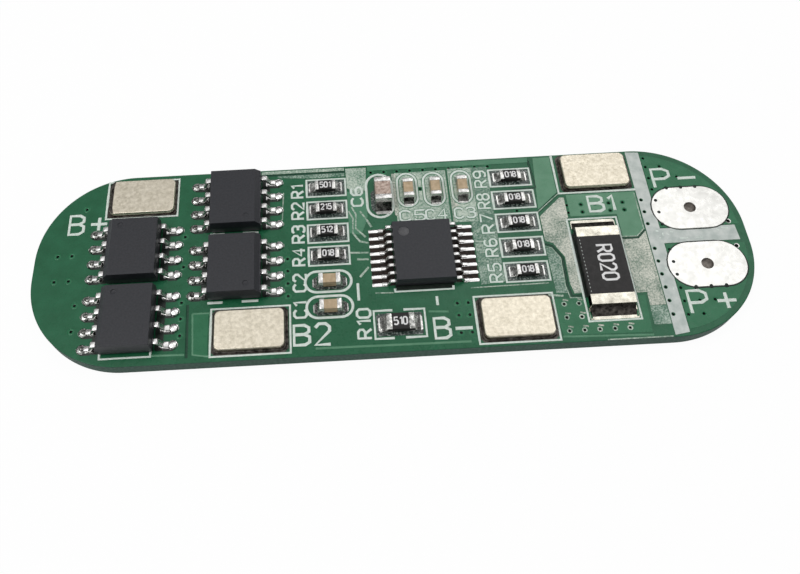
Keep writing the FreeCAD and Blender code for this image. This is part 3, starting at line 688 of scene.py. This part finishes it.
endArc = [(19.6 + 6.75 * math.cos(math.radians(7 * k)), 0.8 + 6.75 * math.sin(math.radians(7 * k))) for k in range(12)]
greenPours = [
    [(-14.6, -4.3), (-13.5, -4.3), (-13.5, -7.5), (-14.45, -7.38)],
    [(11.2, -4.6), (18, -4.7), (17.85, -7.55), (11.6, -7.45)],
    endArc + [(20.48, 7.48), (20.48, 0.8)], [(x, -y) for x, y in endArc] + [(20.48, -7.48), (20.48, -0.62)]]
glareStrips = [
    [(0.62, 3.2), (0.62, 7), (0.97, 7), (0.97, 2.9)],
    [(5.04, 2.3), (5.08, 4.7), (5.2, 4.7), (5.3, 4.1), (5.62, 3.72), (5.12, 3.5), (5.16, 2.3)]]
palePours = [
    [(-2.98, 5.6), (-2.2, 5.15), (-1.5, 5.45), (-1.5, 3.2), (-1.75, 2.4), (-2.1, 1.6), (-2.98, 1.8)],
    [(-1.25, 7.85), (11.55, 7.85), (11.5, 7.42), (-1.25, 7.42)]]
palerPours = [
    [(13.95, 4.15), (19.3, 4.15), (19.25, 0.75), (18.6, 0.2), (17.5, 0.2), (17.5, 2.2), (13.95, 2.2)],
    [(11.98, 7.8), (13.3, 7.8), (13.3, 4.45), (11.62, 2.98)]]
bandOutline = [(19.38, 7.86), (20.42, 7.78), (20.42, 0.72), (26.05, 0.72), (26.12, -0.55), (20.42, -0.55), (20.42, -7.7),
               (19.38, -7.86)]


def openingsIn(outlines, viaGap):
    # round openings at the vias and output pads that the outlines take in
    rounds = [((v.x / mm, v.y / mm), viaGap, 16) for v in vias]
    rounds += [(middleOf(n).xy / mm, relief["padGap"], 32) for n in padNodes]
    return [circlePoints(*r) for r in rounds if any(inside(r[0], o) for o in outlines)]


# the silvery, speckled and faint pours and the strips after them carry painted glare; the pale ones are partly
# lightened by it
for name, outlines, material in (
        ("strong_glare_pours", strongGlarePours, paintedGlareStrong), ("glare_pours", glarePours, paintedGlare),
        ("faint_glare_pours", faintGlarePours, paintedGlareFaint), ("green_pours", greenPours, maskCopper),
        ("pale_pours", palePours, maskPale), ("paler_pours", palerPours, maskPaler)):
    drawPlates(name, outlines, relief["pour"], material, openingsIn(outlines, relief["viaGap"]))
drawPlates("glare_strips", glareStrips, relief["strip"], paintedGlareStrong)
drawPlates("grey_band", [bandOutline], relief["band"], printGrey,
           openingsIn([bandOutline], relief["bandViaGap"]))


# Painted shade and lands at the joints
painted_shade = {"capacitor": (2.6, 1.15), "capacitorDrop": 0.35, "tabRim": 0.27, "footSize": (1.25, 0.68), "footIn": 0.68,
           "footDrop": 0.1}
leftFrames = [(-4.6, y) for y in (6.03, 3.97, 1.89, -0.06)]
rightFrames = [(9.88, y) for y in (6.07, 4.02, 1.95, -0.19, -2.28)]


def clipped(centre, size, corner):
    # a rectangle without its corners
    x, y = centre
    halfX, halfY = size[0] / 2, size[1] / 2
    inX, inY = halfX - corner, halfY - corner
    return [(x - inX, y - halfY), (x + inX, y - halfY), (x + halfX, y - inY), (x + halfX, y + inY),
            (x + inX, y + halfY), (x - inX, y + halfY), (x - halfX, y + inY), (x - halfX, y - inY)]


def grownBox(node, growX, growY):
    # centre and size in mm
    low, high = (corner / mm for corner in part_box(node))
    return (((low.x + high.x) / 2, (low.y + high.y) / 2),
            (high.x - low.x + 2 * growX, high.y - low.y + 2 * growY))


def spotsOf(pattern, numbers):
    return [middleOf(pattern % k).xy / mm for k in numbers]


def besideBody(node, reach):
    (x, y), size = grownBox(node + "_body", 0, -0.15)
    return [clipped((x + side * (size[0] + reach) / 2, y), (reach, size[1]), 0.1) for side in (-1, 1)]


jointFilms = [clipped(s, (2.86, 1.38), 0.1) for s in leftFrames]
jointFilms += [clipped(s, (3, 1.38), 0.1) for s in rightFrames]
jointFilms += [clipped((0.2, -5.9), (3.3, 1.75), 0.12)]
jointFilms += [clipped(s, painted_shade["capacitor"], 0.35) for s in spotsOf("capacitor_%d_body", (1, 2))]
jointFilms += [clipped((x, y - painted_shade["capacitorDrop"]), painted_shade["capacitor"][::-1], 0.35)
               for x, y in spotsOf("capacitor_%d_body", (3, 4, 5))]
jointFilms += [clipped((-0.42, 4.55), (1.45, 2.5), 0.5)]
shuntLands = [clipped((15.48, 1.4), (3.35, 0.8), 0.12), clipped((15.48, -6.08), (3.45, 0.66), 0.05)]
shuntLands += [[(x - 0.09, -6.3), (x + 0.09, -6.3), (x + 0.05, -5.4), (x - 0.05, -5.4)] for x in (13.82, 17.14)]
chipLands = [clipped((x + side * 1.2, y + 0.06), (0.2, 0.84), 0.07)
             for x, y in spotsOf("resistor_%d_body", range(1, 10)) for side in (-1, 1)]
chipLands += [clipped((x + side * 1.17, y), (0.16, 0.7), 0.07)
              for x, y in spotsOf("capacitor_%d_body", (1, 2)) for side in (-1, 1)]
chipLands += [clipped((1.62, -5.87), (0.4, 1.25), 0.15), clipped((-1.15, -5.87), (0.35, 1.2), 0.15)]
menisci = [clipped((x, 4.02), (0.68, 0.17), 0.06) for x, y in spotsOf("capacitor_%d_body", (3, 4, 5))]
menisci += [clipped((-0.24, 3.45), (1.2, 0.32), 0.12)]
tabFilms = [clipped(*grownBox(node, painted_shade["tabRim"], painted_shade["tabRim"]), 0.3) for node in tabNodes]
mosfetFilms = sum([besideBody("mosfet_%d" % k, 0.6) for k in range(1, 5)], [])
footShades = []
for k in range(1, 5):
    (x, y), size = grownBox("mosfet_%d_solder" % k, -painted_shade["footIn"], 0)
    footShades += [clipped((x + side * size[0] / 2, y + along / mm - painted_shade["footDrop"]), painted_shade["footSize"], 0.3)
                   for along in rowPlaces(powerPackage) for side in (-1, 1)]

# solder crept over the left edge of the upper left tab, in the solder darkened as painted shade
positiveLow, positiveHigh = (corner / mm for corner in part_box("battery_tab_positive"))
creepLine = [(0.03, 0.35), (0.14, 0.1), (0.34, 0.03), (0.28, 0.32), (0.24, 0.6)]
creep = [(positiveLow.x + x, positiveLow.y + y) for x, y in creepLine]
creep += [(positiveLow.x + x, positiveHigh.y - y) for x, y in reversed(creepLine)]
tabTop = positiveHigh.z - boardTop / mm
drawPlates("positive_tab_creep", [creep], tabTop + 0.006, solderInShade, bottom=tabTop - 0.04)

# the films and darkened solder drawn here are painted shade; the lands and menisci are tin
for name, outlines, level, material in (
        ("joint_painted_shade", jointFilms, "film", jointShadeFilm), ("shunt_lands", shuntLands, "band", foilTin),
        ("shunt_side_painted_shade", [clipped((13.85, -2.4), (0.34, 6.2), 0.08)], "film", shadeFilm),
        ("chip_lands", chipLands, "land", capTin), ("capacitor_menisci", menisci, "meniscus", capTin),
        ("tab_painted_shade", tabFilms, "film", solderInShade),
        ("controller_painted_shade", besideBody("controller", 1.7), "film", brownShadeFilm),
        ("controller_front_painted_shade", [clipped((2.28, -3), (4.3, 0.5), 0.05)], "film", shadeFilm),
        ("mosfet_foot_shades", footShades, "shade", shadeFilm), ("mosfet_residue", mosfetFilms, "film", shadeFilm)):
    drawPlates(name, outlines, relief[level], material)
print("mask relief and painted shade drawn")


# Print: strokes drawn as flattened beads of ink, the letters in hundredths of their height
glyphs = {
    "B": [[(0, 53), (42, 53), (60, 66), (60, 87), (42, 100), (0, 100), (0, 0), (44, 0), (62, 13), (62, 40), (42, 53)]],
    "P": [[(0, 0), (0, 100), (42, 100), (62, 86), (62, 60), (42, 46), (0, 46)]],
    "R": [[(0, 0), (0, 100), (42, 100), (60, 86), (60, 62), (42, 48), (0, 48)], [(30, 48), (62, 0)]],
    "C": [[(60, 84), (42, 100), (18, 100), (0, 84), (0, 16), (18, 0), (42, 0), (60, 16)]],
    "+": [[(0, 50), (64, 50)], [(32, 14), (32, 86)]],
    "-": [[(0, 50), (64, 50)]],
    "0": [[(30, 0), (16, 0), (0, 18), (0, 82), (16, 100), (44, 100), (60, 82), (60, 18), (44, 0), (30, 0)]],
    "1": [[(10, 78), (34, 100), (34, 0)]],
    "2": [[(0, 82), (16, 100), (44, 100), (60, 84), (60, 64), (0, 0), (62, 0)]],
    "3": [[(0, 88), (14, 100), (44, 100), (60, 86), (60, 66), (44, 54), (24, 54)],
          [(44, 54), (60, 42), (60, 14), (44, 0), (14, 0), (0, 12)]],
    "4": [[(48, 0), (48, 100), (0, 32), (64, 32)]],
    "5": [[(58, 100), (6, 100), (2, 56), (42, 60), (60, 44), (60, 16), (42, 0), (14, 0), (0, 12)]],
    "6": [[(54, 90), (42, 100), (18, 100), (0, 80), (0, 18), (16, 0), (44, 0), (60, 16), (60, 40),
           (44, 56), (14, 56), (0, 44)]],
    "7": [[(0, 100), (60, 100), (20, 0)]],
    "8": [[(44, 54), (16, 54), (2, 68), (2, 86), (16, 100), (44, 100), (58, 86), (58, 68),
           (44, 54), (60, 38), (60, 16), (44, 0), (16, 0), (0, 16), (0, 38), (16, 54)]],
    "9": [[(6, 10), (18, 0), (42, 0), (60, 20), (60, 82), (44, 100), (16, 100), (0, 84), (0, 60),
           (16, 44), (46, 44), (60, 56)]],
}


def textStrokes(text, box, turn=0):
    # the text fills its box (left, low, right, high in mm), read along +X, or turned a quarter either way
    left, low, right, high = box
    width, height = right - left, high - low
    gap = 24
    places, total = [], 0.0
    for letter in text:
        places.append((letter, total))
        total += max(x for stroke in glyphs[letter] for x, y in stroke) + gap
    total -= gap
    strokes = []
    for letter, start in places:
        for stroke in glyphs[letter]:
            points = [((x + start) / total, y / 100) for x, y in stroke]
            if turn > 0:
                strokes.append([(right - y * width, low + along * height) for along, y in points])
            elif turn < 0:
                strokes.append([(left + y * width, high - along * height) for along, y in points])
            else:
                strokes.append([(left + along * width, low + y * height) for along, y in points])
    return strokes


def rectangle(centre, size):
    x, y = centre
    halfX, halfY = size[0] / 2, size[1] / 2
    return [(x - halfX, y), (x - halfX, y + halfY), (x + halfX, y + halfY), (x + halfX, y - halfY),
            (x - halfX, y - halfY), (x - halfX, y)]


def oval(left, low, right, high):
    radius = min(right - left, high - low) / 2
    points = []
    for cornerX, cornerY, start in ((right - radius, high - radius, 0), (left + radius, high - radius, 90),
                                    (left + radius, low + radius, 180), (right - radius, low + radius, 270)):
        for step in range(7):
            angle = math.radians(start + 15 * step)
            points.append((cornerX + radius * math.cos(angle), cornerY + radius * math.sin(angle)))
    return points + points[:1]


def drawStrokes(name, strokes, line, material):
    # line tells the width and thickness of the bead and how far its middle lies over the board, in mm
    shape = bpy.data.curves.new(name, "CURVE")
    shape.dimensions = "3D"
    shape.bevel_depth = line["width"] / 2 * mm
    shape.bevel_resolution = 2
    shape.use_fill_caps = True
    drawn = meshThrough(shape, strokes, False, line["lift"], line["thickness"] / line["width"])
    finishPiece(drawn, material, smoothAngle=60)


ink = {"thickness": 0.07, "lift": 0.02}
partNumbers = {**ink, "width": 0.2, "columns": {
    (-7.3, -6.4): {"R1": (5.25, 6.35), "R2": (3.3, 4.75), "R3": (1.2, 2.65), "R4": (-0.75, 0.65),
                   "C2": (-2.9, -1.5), "C1": (-5, -3.8)},
    (7.1, 8): {"R9": (5.3, 6.8), "R8": (3.35, 4.65), "R7": (1.15, 2.8), "R6": (-0.85, 0.6), "R5": (-3, -1.5)},
    (-2.65, -1.8): {"C6": (4.2, 5.9)}, (-2.8, -1.85): {"R10": (-6.85, -4.6)}},
    "row": {"C5": (1, 2.9), "C4": (3, 4.6), "C3": (5.2, 6.75)}, "rowHeight": (2.6, 3.5)}
smallStrokes, edgedStrokes = [], []     # the edged ones get a green margin
for (left, right), texts in partNumbers["columns"].items():
    for text, (low, high) in texts.items():
        strokes = textStrokes(text, (left, low, right, high), 1)
        smallStrokes += strokes
        edgedStrokes += strokes if left > 7 else []
low, high = partNumbers["rowHeight"]
for text, (left, right) in partNumbers["row"].items():
    strokes = textStrokes(text, (left, low, right, high))
    smallStrokes += strokes
    edgedStrokes += strokes

terminals = {**ink, "width": 0.25, "texts": {
    "B": [(-24.5, 3, -23.4, 4.65), (-7.35, -7.1, -6.25, -5.6), (2.65, -7.15, 3.72, -5.62), (15.55, 2.55, 16.65, 3.9)],
    "+": [(-22.85, 3, -21.6, 4.6), (23, -6.3, 24.35, -4.6)], "2": [(-5.84, -7.15, -4.78, -5.55)],
    "-": [(4.1, -7.28, 5.32, -5.68), (22.9, 4.45, 24.3, 5.85)], "1": [(16.95, 2.55, 17.45, 3.9)],
    "P": [(21, 4.4, 22.3, 6.1), (21, -6.3, 22.3, -4.55)]}}
largeStrokes = []
for text, boxes in terminals["texts"].items():
    for box in boxes:
        largeStrokes += textStrokes(text, box)

frames = {**ink, "width": 0.2}
frameStrokes = [rectangle(spot, (3.05, 1.57)) for spot in leftFrames]
frameStrokes += [rectangle(spot, (3.2, 1.57)) for spot in rightFrames]
frameStrokes += [rectangle((-10.45, -5.8), (5.7, 3.66)), rectangle((8.53, -5.93), (5.7, 3.66)),
                 rectangle((-18.98, 5.9), (5.55, 3.4)), rectangle((15.48, -2.28), (3.75, 8.45)),
                 [(13.45, 7.9), (13.45, 4.33), (19.4, 4.33)],
                 [(-0.25, -4.8), (-1.6, -4.8), (-1.6, -6.95), (-0.25, -6.95)],
                 [(0.55, -4.8), (2.05, -4.8), (2.05, -6.95), (0.55, -6.95)]]
smallOvals = [oval(1, 3.9, 2.5, 6.95), oval(3.05, 3.85, 4.6, 6.9), oval(5.25, 3.95, 6.75, 6.95)]
frameStrokes += [oval(-6.45, -3.05, -3.05, -1.35), oval(-6.4, -5.1, -3.05, -3.4), oval(-1.45, 3.05, 0.55, 7)]
frameStrokes += smallOvals
edgedStrokes += smallOvals
frameStrokes += [[(a, y), (b, y)] for y in (-3.45, 2.3) for a, b in ((-13.6, -12.5), (-11.1, -9.9))]
frameStrokes += [[(-21.1, -6.9), (-21.1, -7.35), (-17.5, -7.35), (-17.5, -6.9)],
                 [(0.1, -3.1), (0.1, -3.35), (4.35, -3.35), (4.35, -3.1)], [(-2.6, -3.9), (-2.6, -2.5)],
                 [(3.05, -4.6), (3.05, -3.9)]]
print("marks drawn:", len(smallStrokes) + len(largeStrokes) + len(frameStrokes), "strokes")

tracks = {"width": 0.17, "thickness": 0.07, "lift": 0}
# the bright tracks take the painted glare speckle, and the pale tracks the mask lightened by painted glare
glareTracks = [
    [(-2.92, 6.14), (-2.4, 5.43), (-1.97, 5.14)], [(-2.7, 4.13), (-2.4, 3.46), (-2.48, 2.18), (-1.76, 1.38)],
    [(-2.94, 3.75), (-2.64, 3.08), (-2.72, 1.81), (-2.22, 1.03), (-1.58, 0.87)],
    [(-2.06, 3.69), (-1.66, 3.02), (-1.27, 2.23)], [(-3.03, 0.1), (-1.64, 0.01)], [(-2.52, -0.48), (-1.67, -0.54)],
    [(-1.72, -1.2), (-2.4, -1.99)], [(6.47, 0.49), (7.22, 0.44)], [(6.43, 0.18), (7.18, 0.14)],
    [(6.48, -0.25), (7.12, -0.29)], [(6.46, -1.22), (6.99, -1.19)], [(6.43, 0.99), (7.2, 1.82)],
    [(11.09, -4.26), (12.16, -4.39)]]
paleTracks = [
    [(2.34, -5.04), (3.77, -5.13)], [(-5.85, -7.41), (5.1, -7.51)], [(-14.65, -4.24), (-13.39, -4.25)],
    [(-14.65, -4.24), (-14.51, -7.39), (-13.27, -7.59)], [(-17.5, -7.28), (-15.1, -7.35)],
    [(11.56, -7.53), (17.89, -7.75)]]
gaps = {"width": 0.2, "thickness": 0.05, "lift": 0}
# the gaps are drawn in the darker gap mask: painted shade
gapStrokes = [
    [(-9.67, 7.47), (-3.05, 7.47)], [(11.5, 2.72), (13.4, 4.36)],
    [(11.6, -0.06), (12.12, -0.28), (12.68, -1.27), (12.63, -3.55), (12.79, -4.43), (13.5, -4.45)],
    [(17.4, 0.09), (18.64, 0.07), (19.28, 0.67)], [(-15.05, -3.5), (-14.95, -7.6)],
    [(11.55, 7.6), (11.8, 5), (9.9, 4.9)]]
ridges = {"width": 0.1, "thickness": 0.07, "lift": 0.01}
ridgeStrokes = [
    [(11.47, 2.7), (13.42, 4.36)],
    [(11.5, -0.22), (12.02, -0.42), (12.53, -1.32), (12.46, -3.6), (12.62, -4.58), (13.4, -4.62)],
    # the stroke along y -7.94 is a painted highlight on the board's near top edge
    [(17.4, 0.22), (18.58, 0.2), (19.22, 0.8), (19.22, 4)], [(14.6, -7.94), (19.2, -7.94)], [(6.3, 1.13), (7.1, 1.76)],
    [(6.4, 0.46), (7.05, 0.47)], [(6.4, 0.02), (7.05, 0.05)], [(6.4, -0.51), (7, -0.49)], [(6.4, -1.22), (7.2, -1.28)],
    [(6.4, -1.87), (7.1, -1.92)], [(6.3, 1.81), (6.78, 2.34), (6.88, 3.1), (6.68, 3.62)], [(5.6, -3.36), (11.3, -3.3)],
    [(-7.95, 5.75), (-8.06, 3.33), (-8.95, 2.62)], [(2.54, 4.6), (3.27, 3.71)], [(-1.36, -3.36), (-0.04, -3.42)]]
padLine = {"width": 0.13, "thickness": 0.05, "lift": 0.012, "grow": 0.05}
padStrokes = []
for node in padNodes:
    (x, y), size = grownBox(node, padLine["grow"], padLine["grow"])
    padStrokes.append(oval(x - size[0] / 2, y - size[1] / 2, x + size[0] / 2, y + size[1] / 2))
# white flecks on the band: painted glints
flecks = {"width": 0.09, "thickness": 0.03, "lift": relief["band"]}
bandGlintStrokes = [
    [(20.05, 0.55), (20.25, 0.5)], [(20.5, 0.1), (20.55, 0.35)], [(20.8, 0.3), (20.95, 0.15)],
    [(20.15, -0.1), (20.3, -0.05)], [(21.1, 0.4), (21.3, 0.35)], [(21.7, -0.2), (22.3, -0.22)],
    [(22.9, -0.2), (23.4, -0.22)], [(24.6, 0.45), (24.75, 0.3)], [(25, 0.5), (25.5, 0.5)],
    [(20, -2.6), (20.1, -2.8)], [(20.1, -4.2), (20.15, -4.4)]]
glints = {"width": 0.15, "thickness": 0.05, "lift": 0.01}
glintStrokes = [[(v.x / mm - 0.05, v.y / mm + 0.34), (v.x / mm + 0.33, v.y / mm + 0.26)] for v in glintVias]
margins = {"width": 0.34, "thickness": 0.05, "lift": 0.012}
for name, strokes, line, material in (
        ("mask_tracks_glare", glareTracks, tracks, paintedGlare), ("mask_tracks_pale", paleTracks, tracks, maskPaler),
        ("mask_gaps", gapStrokes, gaps, maskGap), ("mask_ridges", ridgeStrokes, ridges, paintedGlare),
        ("pad_outlines", padStrokes, padLine, holeDark), ("band_glints", bandGlintStrokes, flecks, printWhite),
        ("via_glints", glintStrokes, glints, paintedGlareStrong), ("print_margins", edgedStrokes, margins, maskCopper),
        ("part_numbers_print", smallStrokes, partNumbers, printWhite),
        ("terminal_print", largeStrokes, terminals, printWhite), ("frames_print", frameStrokes, frames, printWhite)):
    drawStrokes(name, strokes, line, material)


# Figures on the resistors and the shunt
figures = {"texts": ["501", "215", "512", "018", "018", "018", "018", "018", "018", "510"], "length": 0.8,
           "rise": 0.48, "scales": [1] * 9 + [1.15], "width": 0.115, "thickness": 0.02, "sink": 0.002}
shuntFigures = {"box": (15.1, -3.6, 16.2, -0.75), "width": 0.2, "fleckWidth": 0.05}


def drawFigures(name, strokes, node, width, material=figureWhite):
    lift = (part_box(node)[1].z - boardTop) / mm - figures["sink"]
    line = {"width": width, "thickness": figures["thickness"], "lift": lift}
    drawStrokes(name, strokes, line, material)


for k, text, scale in zip(range(1, 11), figures["texts"], figures["scales"]):
    node = "resistor_%d_body" % k
    x, y = middleOf(node).xy / mm
    halfLength, halfRise = figures["length"] * scale / 2, figures["rise"] * scale / 2
    box = (x - halfLength, y - halfRise, x + halfLength, y + halfRise)
    drawFigures("resistor_%d_figures" % k, textStrokes(text, box), node, figures["width"] * scale)
drawFigures("shunt_figures", textStrokes("R020", shuntFigures["box"], -1), "shunt_body", shuntFigures["width"])
edgeDashes = [[(14, 0.1 - 0.3 * k), (14, 0.0 - 0.3 * k)] for k in range(16)]
drawFigures("shunt_edge_flecks", edgeDashes, "shunt_body", shuntFigures["fleckWidth"], printGrey)
print("figures drawn")


# Camera, light and floor
camera = {"lens": 34.58, "place": (-3.831, -27.636, 51.71), "azimuth": -0.3296, "elevation": 60.882, "roll": -2.8218,
          "shift": (0.0735, -0.048)}


def addCamera():
    azimuth, elevation, roll = (math.radians(camera[k]) for k in ("azimuth", "elevation", "roll"))
    back = Vector((math.sin(azimuth) * math.cos(elevation), -math.cos(azimuth) * math.cos(elevation),
                   math.sin(elevation)))
    level = Vector((0, 0, 1)).cross(back).normalized()
    upright = back.cross(level)
    right = math.cos(roll) * level + math.sin(roll) * upright
    up = math.cos(roll) * upright - math.sin(roll) * level
    bpy.ops.object.camera_add()
    eye = activeObject()
    eye.matrix_world = Matrix((right, up, back)).transposed().to_4x4()
    eye.location = Vector(camera["place"]) * mm
    eye.data.lens = camera["lens"]
    eye.data.sensor_width = 36
    eye.data.shift_x, eye.data.shift_y = camera["shift"]
    eye.data.clip_start, eye.data.clip_end = 0.001, 100
    bpy.context.scene.camera = eye


def addSoftbox(name, place, size, strength, target=(0, 0, 0)):
    bpy.ops.object.light_add(type="AREA", location=place)
    lamp = activeObject()
    lamp.name = name
    lamp.data.shape = "RECTANGLE"
    lamp.data.size, lamp.data.size_y = size
    lamp.data.energy = strength * size[0] * size[1] * math.pi     # strength is the panel's own brightness
    lamp.rotation_euler = (Vector(place) - Vector(target)).to_track_quat("Z", "Y").to_euler()


floorLook = {"size": 40, "height": -0.00002, "glow": 0.95}


def addFloor():
    bpy.ops.mesh.primitive_plane_add(size=floorLook["size"], location=(0, 0, floorLook["height"]))
    floor = activeObject()
    floor.name = "floor"
    material = bpy.data.materials.new("white floor")
    material.use_nodes = True
    nodes = material.node_tree.nodes
    nodes.remove(nodes["Principled BSDF"])
    matt, glow = (addNode(material, kind, {"Color": (1, 1, 1, 1)}) for kind in ("BsdfDiffuse", "Emission"))
    # the eye, reflections and glass see an almost white glow, and the rest of the light a matt floor
    rays = addNode(material, "LightPath").outputs
    seen = rays["Is Camera Ray"]
    for ray in ("Is Glossy Ray", "Is Transmission Ray"):
        either = addNode(material, "Math")
        either.operation = "MAXIMUM"
        link(seen, either.inputs[0])
        link(rays[ray], either.inputs[1])
        seen = either.outputs[0]
    share = addNode(material, "Math")
    share.operation = "MULTIPLY"
    share.inputs[1].default_value = floorLook["glow"]
    link(seen, share.inputs[0])
    mix = addNode(material, "MixShader")
    link(share.outputs[0], mix.inputs["Fac"])
    link(matt.outputs["BSDF"], mix.inputs[1])
    link(glow.outputs["Emission"], mix.inputs[2])
    link(mix.outputs["Shader"], nodes["Material Output"].inputs["Surface"])
    floor.data.materials.append(material)


def addWorld():
    # bright at the horizon and overhead, darker between them, so that metal has something to show
    world = bpy.data.worlds.new("studio")
    bpy.context.scene.world = world
    world.use_nodes = True
    direction = addNode(world, "TexCoord")
    split = addNode(world, "SeparateXYZ")
    ramp = addNode(world, "ValToRGB")
    levels = [(0, 1), (0.12, 0.98), (0.25, 0.12), (0.62, 0.14), (0.8, 0.88), (1, 0.95)]
    while len(ramp.color_ramp.elements) < len(levels):
        ramp.color_ramp.elements.new(0.5)
    for element, (position, level) in zip(ramp.color_ramp.elements, levels):
        element.position = position
        element.color = (level, level, level, 1)
    link(direction.outputs["Generated"], split.inputs["Vector"])
    link(split.outputs["Z"], ramp.inputs["Fac"])
    sky = world.node_tree.nodes["Background"].inputs
    link(ramp.outputs["Color"], sky["Color"])
    sky["Strength"].default_value = 1.0


addCamera()
addFloor()
addWorld()
addSoftbox("back softbox", (0.105, 0.14, 0.25), (0.2, 0.12), 1.25, (0.012, 0.002, 0))
addSoftbox("top softbox", (-0.16, -0.02, 0.3), (0.16, 0.16), 4)
bpy.context.scene.view_settings.view_transform = "Standard"
print("camera, floor and lights placed")
